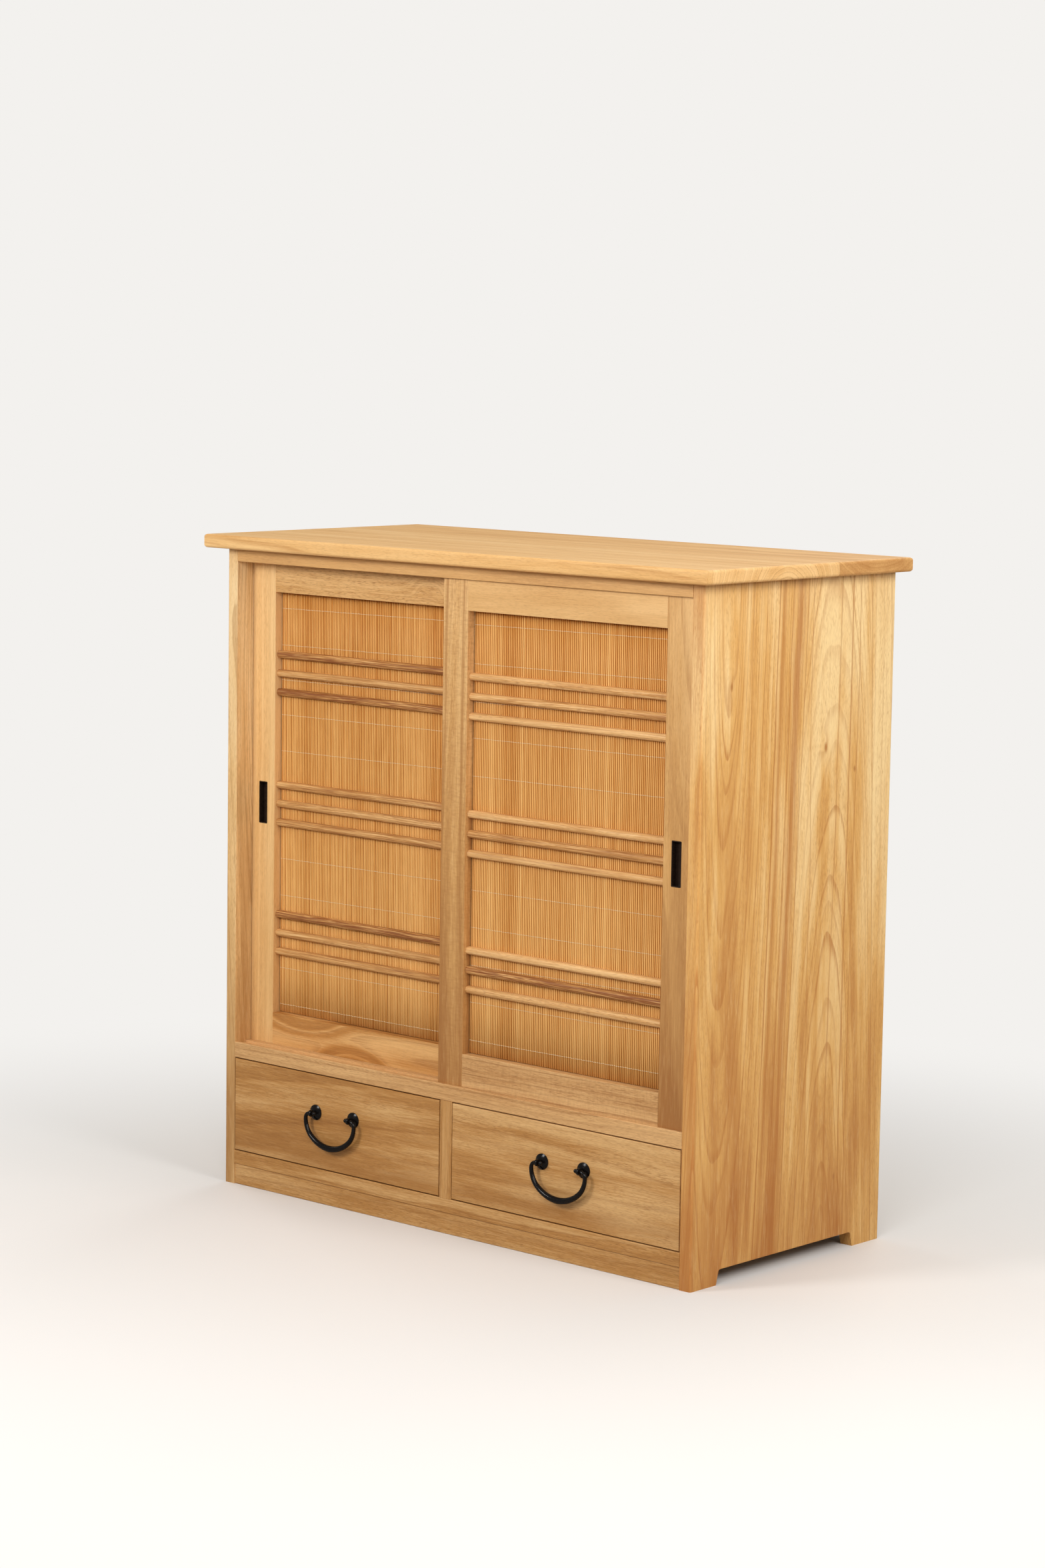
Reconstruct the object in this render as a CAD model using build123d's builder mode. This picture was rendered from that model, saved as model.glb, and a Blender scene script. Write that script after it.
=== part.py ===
from build123d import *
import os
from math import cos, radians, sin

os.makedirs("parts", exist_ok=True)

# A shoe chest: two sliding lattice doors over two drawers, in solid pale wood.
# Millimetres. X runs to the right, Y to the back and Z up, as seen from the front.
# The origin is on the floor, under the middle of the top board.

# Overall size
overall_width = 880
overall_depth = 420
overall_height = 900

# Top board
top_thickness = 18.5
top_edge_radius = 4
front_overhang = 24
side_overhang = 22
rear_overhang = 5

# Side panels, cut away at the floor between a front and a rear foot
side_thickness = 18.5
side_edge_radius = 3
front_foot_length = 51
rear_foot_length = 57.5
foot_slant = 5
toe_notch_height = 19.5
toe_notch_radius = 4

# Front members, from the floor up
skirt_height = 28.5
skirt_thickness = 15
skirt_setback = 1.5
bottom_rail_height = 19
drawer_opening_height = 131
sill_height = 21.5
header_height = 18
plain_rail_depth = 45
track_rail_depth = 56
divider_width = 21
arris_radius = 1

# Stub tenons of the front members
tenon_length = 8
tenon_shoulder = 4

# Back, floor, bottom and their rails
back_thickness = 5
back_inset = 8
back_groove_depth = 6
floor_thickness = 12
floor_housing_depth = 6
bottom_panel_thickness = 9
rear_rail_thickness = 18
rear_top_rail_height = 45
rear_bottom_rail_height = 18

# Drawer runners and stops
runner_width = 18
stop_length = 30
stop_depth = 14
stop_height = 4
stop_inset = 60
stop_gap = 0.3

# Glue blocks behind the skirt
glue_block_leg = 22
glue_block_length = 60
glue_block_inset = 130

# Shelves and their pegs
shelf_thickness = 15
shelf_end_gap = 0.5
shelf_back_gap = 1
shelf_setback = 8
peg_diameter = 6
peg_length = 20
peg_hole_depth = 10
peg_hole_pitch = 32
peg_inset = 45

# Countersunk screws that hold the top board from below
screw_diameter = 4
screw_head_diameter = 8
screw_head_height = 2.4
screw_length = 30
screw_end_inset = 60
screw_rear_margin = 5.7
screw_access_diameter = 10

# Sliding doors and their tracks
door_setback = 5
door_thickness = 22
door_gap = 3
door_overlap = 40
door_side_gap = 0.5
stile_width = 43
door_rail_width = 46
door_arris_radius = 0.8
tongue_thickness = 14
tongue_height = 5.6
track_clearance = 0.5
sill_groove_depth = 3
header_groove_depth = 9
door_ride_gap = 0.3
shoulder_gap = 0.8

# Door infill: backing board, reed mat and rods
reveal_depth = 12
mat_thickness = 2.6
mat_edge_gap = 0.8
reed_pitch = 3.11
reed_crown = 0.7
backing_thickness = 4
panel_groove_depth = 8
panel_groove_gap = 0.5
rod_height = 10
rod_depth = 8.5
rod_nose_radius = 4.4
rod_pitch = 25.8
rod_group_spacing = 179

# Flush pulls let into the outer stiles
pull_length = 58
pull_width = 16
pull_depth = 9
pull_wall = 1.3
pull_corner_radius = 1.5

# Drawers
drawer_gap = 1.5
drawer_front_thickness = 18
drawer_side_thickness = 12
drawer_side_drop = 6
drawer_housing_depth = 8
drawer_back_gap = 15
drawer_bottom_thickness = 5
drawer_bottom_lift = 8
drawer_groove_depth = 5
drawer_ride_gap = 0.3

# Posts and rosettes that carry the bail pulls
post_spacing = 70.6
post_drop = 51.5
post_reach = 9.5
shank_diameter = 3.6
eye_diameter = 9.5
eye_width = 4
rosette_diameter = 21
rosette_edge = 1
rosette_crown = 3
clinch_length = 12
clinch_width = 4
clinch_thickness = 1.5

# Bail pulls, thick in the middle and drawn down to pins that turn in the eyes
bail_half_width = 45.5
bail_drop = 43.5
bail_shoulder_radius = 7.4
bail_bow_angle = 40
bail_middle_diameter = 9
bail_arm_diameter = 7
bail_neck_diameter = 5.4
bail_pin_diameter = 4.6
bail_ball_diameter = 5.8
bail_ball_gap = 0.4
pin_clearance = 0.05

# One overrun carries every cut past the surface that it opens
overrun = 2

# Faces of the carcass
carcass_half = overall_width / 2 - side_overhang
inner_half = carcass_half - side_thickness
carcass_front = -overall_depth / 2 + front_overhang
carcass_back = overall_depth / 2 - rear_overhang
under_top = overall_height - top_thickness
bottom_rail_top = skirt_height + bottom_rail_height
sill_bottom = bottom_rail_top + drawer_opening_height
sill_top = sill_bottom + sill_height
header_bottom = under_top - header_height
plain_rail_back = carcass_front + plain_rail_depth
track_rail_back = carcass_front + track_rail_depth
back_panel_rear = carcass_back - back_inset
back_panel_front = back_panel_rear - back_thickness
floor_underside = sill_top - floor_thickness
bottom_panel_top = skirt_height + bottom_panel_thickness
divider_half = divider_width / 2

# Faces of the doors: the left door runs in the rear track, the right door in the front one
right_door_front = carcass_front + door_setback
left_door_front = right_door_front + door_thickness + door_gap
door_outer_half = inner_half - door_side_gap
door_inner_half = door_overlap / 2
door_bottom = sill_top - sill_groove_depth + door_ride_gap
door_top = header_bottom + tongue_height
opening_bottom = door_bottom + door_rail_width
opening_top = door_top - door_rail_width
opening_middle = (opening_bottom + opening_top) / 2
backing_depth = reveal_depth + mat_thickness

# The two shelves part the space behind the doors into three equal tiers
tier_height = (header_bottom - sill_top) / 3
lower_shelf_bottom = sill_top + tier_height
upper_shelf_bottom = lower_shelf_bottom + tier_height
shelf_front = track_rail_back + shelf_setback
shelf_back = back_panel_front - shelf_back_gap
shelf_half = inner_half - shelf_end_gap
peg_rows = (shelf_front + peg_inset, shelf_back - peg_inset)

# Faces of the drawers
drawer_front_bottom = bottom_rail_top + drawer_gap
drawer_front_top = sill_bottom - drawer_gap
drawer_front_back = carcass_front + drawer_front_thickness
drawer_side_bottom = bottom_rail_top + drawer_ride_gap
drawer_side_top = drawer_front_top - drawer_side_drop
drawer_back = back_panel_front - drawer_back_gap
drawer_bottom_low = drawer_side_bottom + drawer_bottom_lift
drawer_bottom_high = drawer_bottom_low + drawer_bottom_thickness
pull_axis_y = carcass_front - post_reach
pull_axis_z = drawer_front_top - post_drop

sides = {"left": -1, "right": 1}


def block(x_span, y_span, z_span, mode=Mode.ADD):
    """Add or cut a box that fills a span along each axis, in the part being built."""
    spans = (x_span, y_span, z_span)
    centre = tuple((start + end) / 2 for start, end in spans)
    size = tuple(abs(end - start) for start, end in spans)
    with Locations(centre):
        Box(*size, mode=mode)


def ease_front(builder, axis, radius):
    """Round the arrises of the front face that run along an axis."""
    fillet(builder.edges().filter_by(axis).group_by(Axis.Y)[0], radius=radius)


def save(builder, name):
    """Label a finished piece and write it to its own file."""
    builder.part.label = name
    export_step(builder.part, f"parts/{name}.step")


def track_span(door_front):
    """The front and back of the groove that a door's tongue runs in."""
    return (door_front - track_clearance, door_front + tongue_thickness + track_clearance)


def tenon_spans(y_span, z_span):
    """The stub tenon left on a rail's end, a shoulder inside its front, back, top and bottom."""
    return (
        (y_span[0] + tenon_shoulder, y_span[1] - tenon_shoulder),
        (z_span[0] + tenon_shoulder, z_span[1] - tenon_shoulder),
    )


# Sections of the front members that are tenoned into the sides
header_spans = ((carcass_front, track_rail_back), (header_bottom, under_top))
sill_spans = ((carcass_front, track_rail_back), (sill_bottom, sill_top))
bottom_rail_spans = ((carcass_front, plain_rail_back), (skirt_height, bottom_rail_top))
tenoned_members = (header_spans, sill_spans, bottom_rail_spans)


def front_member(name, spans, grooves=()):
    """A front rail between the sides: its tenons, its eased front and any door grooves."""
    y_span, z_span = spans
    with BuildPart() as member:
        block((-inner_half, inner_half), y_span, z_span)
        ease_front(member, Axis.X, arris_radius)
        for groove_y, groove_z in grooves:
            block((-inner_half, inner_half), groove_y, groove_z, mode=Mode.SUBTRACT)
        for direction in sides.values():
            ends = (direction * inner_half, direction * (inner_half + tenon_length))
            block(ends, *tenon_spans(y_span, z_span))
        if name == "header_rail":
            top_screws(mode=Mode.SUBTRACT)
    save(member, name)


def top_screws(mode=Mode.ADD):
    """The screws driven up through the header and the rear rail, or the holes that they fill."""
    screw_reach = inner_half - screw_end_inset
    for screw_y in (track_rail_back - screw_rear_margin, back_panel_front - rear_rail_thickness / 2):
        for screw_x in (-screw_reach, 0, screw_reach):
            with Locations((screw_x, screw_y, header_bottom)):
                Cylinder(
                    radius=screw_diameter / 2,
                    height=screw_length,
                    align=(Align.CENTER, Align.CENTER, Align.MIN),
                    mode=mode,
                )
                Cone(
                    bottom_radius=screw_head_diameter / 2,
                    top_radius=screw_diameter / 2,
                    height=screw_head_height,
                    align=(Align.CENTER, Align.CENTER, Align.MIN),
                    mode=mode,
                )


# Top board, rounded along its upper and lower edges, which meet in crisp mitres at the corners
top_middle = (under_top + overall_height) / 2
with BuildPart() as top_board:
    with BuildSketch(Plane.YZ) as end_profile:
        with Locations((0, top_middle)):
            RectangleRounded(overall_depth, top_thickness, top_edge_radius)
    extrude(end_profile.sketch, amount=overall_width / 2, both=True)
    with BuildSketch(Plane.XZ) as front_profile:
        with Locations((0, top_middle)):
            RectangleRounded(overall_width, top_thickness, top_edge_radius)
    extrude(front_profile.sketch, amount=overall_depth / 2, both=True, mode=Mode.INTERSECT)
    top_screws(mode=Mode.SUBTRACT)
save(top_board, "top_board")

with BuildPart() as top_fixing_screws:
    top_screws()
save(top_fixing_screws, "top_fixing_screws")


def shelf_peg_places():
    """Where a shelf's pegs go in: the row along Y and the peg's height, under each shelf."""
    for shelf_bottom in (lower_shelf_bottom, upper_shelf_bottom):
        for row_y in peg_rows:
            yield row_y, shelf_bottom - peg_diameter / 2


def side_panel(name, direction):
    """A side panel with its feet, and the housings, grooves and peg holes of its inner face."""
    inner_face = direction * inner_half
    with BuildPart() as panel:
        with BuildSketch(Plane.YZ.offset(inner_face)) as outline:
            with BuildLine():
                Polyline(
                    (carcass_front, 0),
                    (carcass_front + front_foot_length, 0),
                    (carcass_front + front_foot_length + foot_slant, toe_notch_height),
                    (carcass_back - rear_foot_length - foot_slant, toe_notch_height),
                    (carcass_back - rear_foot_length, 0),
                    (carcass_back, 0),
                    (carcass_back, under_top),
                    (carcass_front, under_top),
                    close=True,
                )
            make_face()
            notch_corners = outline.vertices().group_by(Axis.Y)[1]
            fillet(notch_corners, radius=toe_notch_radius)
        extrude(amount=direction * side_thickness)
        upright = panel.edges().filter_by(Axis.Z).sort_by(Axis.X)
        outer = upright[-2:] if direction > 0 else upright[:2]
        inner = upright[:2] if direction > 0 else upright[-2:]
        fillet(outer, radius=side_edge_radius)
        fillet(inner.sort_by(Axis.Y)[0], radius=arris_radius)
        for y_span, z_span in tenoned_members:
            mortise = (inner_face, inner_face + direction * tenon_length)
            block(mortise, *tenon_spans(y_span, z_span), mode=Mode.SUBTRACT)
        block(
            (inner_face, inner_face + direction * back_groove_depth),
            (back_panel_front, back_panel_rear),
            (skirt_height, under_top),
            mode=Mode.SUBTRACT,
        )
        block(
            (inner_face, inner_face + direction * floor_housing_depth),
            (track_rail_back, back_panel_front),
            (floor_underside, sill_top),
            mode=Mode.SUBTRACT,
        )
        for row_y, peg_z in shelf_peg_places():
            for step in (-1, 0, 1):
                hole_x = inner_face + direction * peg_hole_depth / 2
                with Locations((hole_x, row_y, peg_z + step * peg_hole_pitch)):
                    Cylinder(
                        radius=peg_diameter / 2,
                        height=peg_hole_depth,
                        rotation=(0, 90, 0),
                        mode=Mode.SUBTRACT,
                    )
    save(panel, name)


for side, direction in sides.items():
    side_panel(f"{side}_side_panel", direction)

# Header with the two deep upper tracks, and sill with the two shallow lower ones
door_fronts = (right_door_front, left_door_front)
header_cut = (header_bottom, header_bottom + header_groove_depth)
sill_cut = (sill_top - sill_groove_depth, sill_top)
front_member("header_rail", header_spans, [(track_span(y), header_cut) for y in door_fronts])
front_member("sill_rail", sill_spans, [(track_span(y), sill_cut) for y in door_fronts])
front_member("bottom_rail", bottom_rail_spans)

# Skirt board under the bottom rail, a little behind the face of the carcass
with BuildPart() as skirt_board:
    skirt_front = carcass_front + skirt_setback
    block(
        (-inner_half, inner_half),
        (skirt_front, skirt_front + skirt_thickness),
        (0, skirt_height),
    )
    ease_front(skirt_board, Axis.X, arris_radius)
save(skirt_board, "skirt_board")

# Three-cornered glue blocks in the angle between the skirt and the bottom rail
with BuildPart() as skirt_glue_blocks:
    skirt_back = carcass_front + skirt_setback + skirt_thickness
    block_reach = inner_half - glue_block_inset
    for block_x in (-block_reach, 0, block_reach):
        with BuildSketch(Plane.YZ.offset(block_x - glue_block_length / 2)):
            with BuildLine():
                Polyline(
                    (skirt_back, skirt_height),
                    (skirt_back + glue_block_leg, skirt_height),
                    (skirt_back, skirt_height - glue_block_leg),
                    close=True,
                )
            make_face()
        extrude(amount=glue_block_length)
save(skirt_glue_blocks, "skirt_glue_blocks")

# Upright between the drawers at the front, and the partition that stands behind it
with BuildPart() as drawer_divider:
    block(
        (-divider_half, divider_half),
        (carcass_front, plain_rail_back),
        (bottom_rail_top, sill_bottom),
    )
    ease_front(drawer_divider, Axis.Z, arris_radius)
save(drawer_divider, "drawer_divider")

with BuildPart() as drawer_partition:
    with BuildSketch(Plane.YZ.offset(-divider_half)):
        with BuildLine():
            Polyline(
                (plain_rail_back, bottom_panel_top),
                (back_panel_front, bottom_panel_top),
                (back_panel_front, floor_underside),
                (track_rail_back, floor_underside),
                (track_rail_back, sill_bottom),
                (plain_rail_back, sill_bottom),
                close=True,
            )
        make_face()
    extrude(amount=divider_width)
save(drawer_partition, "drawer_partition")

# Floor of the shoe compartment, housed in the sides behind the sill
with BuildPart() as cabinet_floor:
    floor_half = inner_half + floor_housing_depth
    block(
        (-floor_half, floor_half),
        (track_rail_back, back_panel_front),
        (floor_underside, sill_top),
    )
save(cabinet_floor, "cabinet_floor")

# Bottom panel under the drawers
with BuildPart() as bottom_panel:
    block(
        (-inner_half, inner_half),
        (plain_rail_back, back_panel_front),
        (skirt_height, bottom_panel_top),
    )
save(bottom_panel, "bottom_panel")

# Back panel, let into grooves of the sides
with BuildPart() as back_panel:
    back_half = inner_half + back_groove_depth
    block(
        (-back_half, back_half),
        (back_panel_front, back_panel_rear),
        (skirt_height, under_top),
    )
save(back_panel, "back_panel")

# Rear rails, above and below, against the back panel
rear_rail_span = (back_panel_front - rear_rail_thickness, back_panel_front)

with BuildPart() as rear_top_rail:
    rear_rail_bottom = under_top - rear_top_rail_height
    block((-inner_half, inner_half), rear_rail_span, (rear_rail_bottom, under_top))
    top_screws(mode=Mode.SUBTRACT)
    screw_reach = inner_half - screw_end_inset
    for screw_x in (-screw_reach, 0, screw_reach):
        with Locations((screw_x, back_panel_front - rear_rail_thickness / 2, rear_rail_bottom)):
            Cylinder(
                radius=screw_access_diameter / 2,
                height=header_bottom - rear_rail_bottom,
                align=(Align.CENTER, Align.CENTER, Align.MIN),
                mode=Mode.SUBTRACT,
            )
save(rear_top_rail, "rear_top_rail")

with BuildPart() as rear_bottom_rail:
    block(
        (-inner_half, inner_half),
        rear_rail_span,
        (skirt_height - rear_bottom_rail_height, skirt_height),
    )
save(rear_bottom_rail, "rear_bottom_rail")

# Shelves, and the pegs that they lie on
for name, shelf_bottom in (("lower_shelf", lower_shelf_bottom), ("upper_shelf", upper_shelf_bottom)):
    with BuildPart() as shelf:
        block(
            (-shelf_half, shelf_half),
            (shelf_front, shelf_back),
            (shelf_bottom, shelf_bottom + shelf_thickness),
        )
        ease_front(shelf, Axis.X, arris_radius)
    save(shelf, name)

with BuildPart() as shelf_pegs:
    for direction in sides.values():
        peg_x = direction * (inner_half + peg_hole_depth - peg_length / 2)
        for row_y, peg_z in shelf_peg_places():
            with Locations((peg_x, row_y, peg_z)):
                Cylinder(radius=peg_diameter / 2, height=peg_length, rotation=(0, 90, 0))
save(shelf_pegs, "shelf_pegs")


def drawer_opening(direction):
    """The left and right of the opening that a drawer slides in."""
    return sorted((direction * divider_half, direction * inner_half))


def drawer_strips(name, direction, y_span, z_span):
    """A pair of strips along the two sides of a drawer opening."""
    opening_left, opening_right = drawer_opening(direction)
    with BuildPart() as strips:
        block((opening_left, opening_left + runner_width), y_span, z_span)
        block((opening_right - runner_width, opening_right), y_span, z_span)
    save(strips, name)


# Runners under each drawer, kickers over it and a pair of stops behind its front
for side, direction in sides.items():
    runner_y = (plain_rail_back, back_panel_front)
    kicker_y = (track_rail_back, back_panel_front)
    drawer_strips(f"{side}_drawer_runners", direction, runner_y, (bottom_panel_top, bottom_rail_top))
    drawer_strips(f"{side}_drawer_kickers", direction, kicker_y, (sill_bottom, floor_underside))

with BuildPart() as drawer_stops:
    for direction in sides.values():
        opening_left, opening_right = drawer_opening(direction)
        for stop_left in (opening_left + stop_inset, opening_right - stop_inset - stop_length):
            stop_front = drawer_front_back + stop_gap
            block(
                (stop_left, stop_left + stop_length),
                (stop_front, stop_front + stop_depth),
                (bottom_rail_top, bottom_rail_top + stop_height),
            )
save(drawer_stops, "drawer_stops")


def cut_tongue_rebates(x_span, door_front):
    """Thin a door's top and bottom edges to the tongues that run in the tracks."""
    rebate_y = (door_front + tongue_thickness, door_front + door_thickness + overrun)
    block(x_span, rebate_y, (door_bottom - overrun, sill_top + shoulder_gap), mode=Mode.SUBTRACT)
    block(x_span, rebate_y, (header_bottom - shoulder_gap, door_top + overrun), mode=Mode.SUBTRACT)


def door_stile(name, edge, inward, door_front, pull=None):
    """A full-height stile, grooved on its inward side, with a pocket if it holds a pull."""
    inner_edge = edge + inward * stile_width
    groove_y = (door_front + backing_depth, door_front + backing_depth + backing_thickness)
    with BuildPart() as stile:
        block((edge, inner_edge), (door_front, door_front + door_thickness), (door_bottom, door_top))
        ease_front(stile, Axis.Z, door_arris_radius)
        block(
            (inner_edge - inward * panel_groove_depth, inner_edge),
            groove_y,
            (door_bottom, door_top),
            mode=Mode.SUBTRACT,
        )
        cut_tongue_rebates((edge, inner_edge), door_front)
        if pull:
            pull_shell(door_front, pull, pull_length, pull_width, pull_depth, Mode.SUBTRACT)
    save(stile, name)


def door_rail(name, opening, door_front, z_span, groove_z):
    """A rail between the stiles, with end tongues in their grooves and its own groove."""
    left, right = opening
    groove_y = (door_front + backing_depth, door_front + backing_depth + backing_thickness)
    with BuildPart() as rail:
        block(opening, (door_front, door_front + door_thickness), z_span)
        ease_front(rail, Axis.X, door_arris_radius)
        block((left - panel_groove_depth, left), groove_y, z_span)
        block((right, right + panel_groove_depth), groove_y, z_span)
        reach = (left - panel_groove_depth, right + panel_groove_depth)
        block(reach, groove_y, groove_z, mode=Mode.SUBTRACT)
        cut_tongue_rebates(reach, door_front)
    save(rail, name)


def reed_mat(name, opening, door_front):
    """Upright splints side by side, each with a crowned front, as one thin mat."""
    left = opening[0] + mat_edge_gap
    right = opening[1] - mat_edge_gap
    mat_bottom = opening_bottom + mat_edge_gap
    mat_top = opening_top - mat_edge_gap
    reed_count = round((right - left) / reed_pitch)
    reed_width = (right - left) / reed_count
    crest = door_front + reveal_depth
    valley = crest + reed_crown
    mat_back = crest + mat_thickness
    with BuildPart() as mat:
        with BuildSketch(Plane.XY.offset(mat_bottom)):
            with BuildLine():
                for reed in range(reed_count):
                    start = left + reed * reed_width
                    ThreePointArc(
                        (start, valley),
                        (start + reed_width / 2, crest),
                        (start + reed_width, valley),
                    )
                Polyline((right, valley), (right, mat_back), (left, mat_back), (left, valley))
            make_face()
        extrude(amount=mat_top - mat_bottom)
    save(mat, name)


def rod_heights():
    """The middle heights of the rods: three groups of three, about the opening's middle."""
    for group in (-1, 0, 1):
        for rod in (-1, 0, 1):
            yield opening_middle + group * rod_group_spacing + rod * rod_pitch


def lattice_rods(name, opening, door_front):
    """Rods across the opening, flat against the mat and round-nosed in front."""
    rod_back = door_front + reveal_depth
    rod_front = rod_back - rod_depth
    with BuildPart() as rods:
        for rod_z in rod_heights():
            with BuildSketch(Plane.YZ.offset(opening[0])) as section:
                with Locations(((rod_front + rod_back) / 2, rod_z)):
                    Rectangle(rod_depth, rod_height)
                fillet(section.vertices().group_by(Axis.X)[0], radius=rod_nose_radius)
            extrude(amount=opening[1] - opening[0])
    save(rods, name)


def pull_shell(door_front, centre, length, width, depth, mode=Mode.ADD):
    """A block with rounded corners, sunk in from a door's front face."""
    face = Plane(origin=(centre[0], door_front, centre[1]), x_dir=(1, 0, 0), z_dir=(0, 1, 0))
    with BuildSketch(face) as outline:
        RectangleRounded(width, length, pull_corner_radius)
    extrude(outline.sketch, amount=depth, mode=mode)


def flush_pull(name, door_front, centre):
    """A pressed cup with a thin rim, which a finger hooks into."""
    with BuildPart() as cup:
        pull_shell(door_front, centre, pull_length, pull_width, pull_depth)
        mouth = cup.faces().sort_by(Axis.Y)[0]
        offset(amount=-pull_wall, openings=mouth, kind=Kind.INTERSECTION)
    save(cup, name)


def sliding_door(side, direction, door_front):
    """One door: frame, backing board, reed mat, rods and flush pull."""
    outer_edge = direction * door_outer_half
    inner_edge = -direction * door_inner_half
    opening = sorted((outer_edge - direction * stile_width, inner_edge + direction * stile_width))
    pull_centre = (outer_edge - direction * stile_width / 2, opening_middle)
    door_stile(f"{side}_door_outer_stile", outer_edge, -direction, door_front, pull_centre)
    door_stile(f"{side}_door_inner_stile", inner_edge, direction, door_front)
    door_rail(
        f"{side}_door_top_rail",
        opening,
        door_front,
        (opening_top, door_top),
        (opening_top - overrun, opening_top + panel_groove_depth),
    )
    door_rail(
        f"{side}_door_bottom_rail",
        opening,
        door_front,
        (door_bottom, opening_bottom),
        (opening_bottom - panel_groove_depth, opening_bottom + overrun),
    )
    board_reach = panel_groove_depth - panel_groove_gap
    backing_front = door_front + backing_depth
    with BuildPart() as backing:
        block(
            (opening[0] - board_reach, opening[1] + board_reach),
            (backing_front, backing_front + backing_thickness),
            (opening_bottom - board_reach, opening_top + board_reach),
        )
    save(backing, f"{side}_door_backing")
    reed_mat(f"{side}_door_reed_mat", opening, door_front)
    lattice_rods(f"{side}_door_rods", opening, door_front)
    flush_pull(f"{side}_door_flush_pull", door_front, pull_centre)


sliding_door("left", sides["left"], left_door_front)
sliding_door("right", sides["right"], right_door_front)


def pull_posts(x_middle):
    """The places along X of a pull's two posts."""
    return (x_middle - post_spacing / 2, x_middle + post_spacing / 2)


def drawer_box(side, direction):
    """One drawer: front, sides, back and bottom, glued up and grooved."""
    opening_left, opening_right = drawer_opening(direction)
    left = opening_left + drawer_gap
    right = opening_right - drawer_gap
    inner_left = left + drawer_side_thickness
    inner_right = right - drawer_side_thickness
    housing_front = drawer_front_back - drawer_housing_depth
    bottom_spans = (
        (inner_left - drawer_groove_depth, inner_right + drawer_groove_depth),
        (drawer_front_back - drawer_groove_depth, drawer_back),
        (drawer_bottom_low, drawer_bottom_high),
    )
    side_y = (housing_front, drawer_back)
    side_z = (drawer_side_bottom, drawer_side_top)

    with BuildPart() as front:
        block(
            (left, right),
            (carcass_front, drawer_front_back),
            (drawer_front_bottom, drawer_front_top),
        )
        ease_front(front, Axis.X, arris_radius)
        block((left, inner_left), side_y, side_z, mode=Mode.SUBTRACT)
        block((inner_right, right), side_y, side_z, mode=Mode.SUBTRACT)
        block(*bottom_spans, mode=Mode.SUBTRACT)
        for post_x in pull_posts((left + right) / 2):
            with Locations((post_x, (carcass_front + drawer_front_back) / 2, pull_axis_z)):
                Cylinder(
                    radius=shank_diameter / 2,
                    height=drawer_front_thickness + overrun,
                    rotation=(90, 0, 0),
                    mode=Mode.SUBTRACT,
                )
    save(front, f"{side}_drawer_front")

    for board, x_span in (("left", (left, inner_left)), ("right", (inner_right, right))):
        with BuildPart() as drawer_side:
            block(x_span, side_y, side_z)
            block(*bottom_spans, mode=Mode.SUBTRACT)
        save(drawer_side, f"{side}_drawer_{board}_side")

    with BuildPart() as back:
        block(
            (inner_left, inner_right),
            (drawer_back - drawer_side_thickness, drawer_back),
            (drawer_bottom_high, drawer_side_top),
        )
    save(back, f"{side}_drawer_back")

    with BuildPart() as bottom:
        block(*bottom_spans)
    save(bottom, f"{side}_drawer_bottom")
    return (left + right) / 2


def eye_posts(name, x_middle):
    """Posts through the drawer front: a round eye outside, and an end clinched flat inside."""
    hole_radius = bail_pin_diameter / 2 + pin_clearance
    eye_radius = eye_diameter / 2
    cheek = eye_width / 2
    cheek_radius = (eye_radius**2 - cheek**2) ** 0.5
    shank_start = pull_axis_y + (hole_radius + eye_radius) / 2
    with BuildPart() as posts:
        for post_x in pull_posts(x_middle):
            with BuildSketch(Plane(origin=(post_x, pull_axis_y, pull_axis_z), z_dir=(0, 0, 1))):
                with BuildLine():
                    ThreePointArc((-cheek, cheek_radius), (0, eye_radius), (cheek, cheek_radius))
                    Polyline(
                        (cheek, cheek_radius),
                        (cheek, hole_radius),
                        (-cheek, hole_radius),
                        (-cheek, cheek_radius),
                    )
                make_face()
            revolve(axis=Axis((0, pull_axis_y, pull_axis_z), (1, 0, 0)))
            with Locations((post_x, (shank_start + drawer_front_back) / 2, pull_axis_z)):
                Cylinder(
                    radius=shank_diameter / 2,
                    height=drawer_front_back - shank_start,
                    rotation=(90, 0, 0),
                )
            block(
                (post_x - clinch_length / 2, post_x + clinch_length / 2),
                (drawer_front_back, drawer_front_back + clinch_thickness),
                (pull_axis_z - clinch_width / 2, pull_axis_z + clinch_width / 2),
            )
    save(posts, name)


def rosettes(name, x_middle):
    """Domed discs between the eyes and the drawer front."""
    rosette_radius = rosette_diameter / 2
    crest = carcass_front - rosette_edge - rosette_crown
    dome_radius = (rosette_radius**2 + rosette_crown**2) / (2 * rosette_crown)
    with BuildPart() as discs:
        for post_x in pull_posts(x_middle):
            with BuildSketch(Plane.XY.offset(pull_axis_z)):
                with BuildLine():
                    rim = (post_x + rosette_radius, carcass_front - rosette_edge)
                    Polyline((post_x, crest), (post_x, carcass_front), (rim[0], carcass_front), rim)
                    RadiusArc(rim, (post_x, crest), dome_radius)
                make_face()
            revolve(axis=Axis((post_x, 0, pull_axis_z), (0, 1, 0)))
            with Locations((post_x, carcass_front, pull_axis_z)):
                Cylinder(
                    radius=shank_diameter / 2,
                    height=rosette_diameter,
                    rotation=(90, 0, 0),
                    mode=Mode.SUBTRACT,
                )
    save(discs, name)


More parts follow.
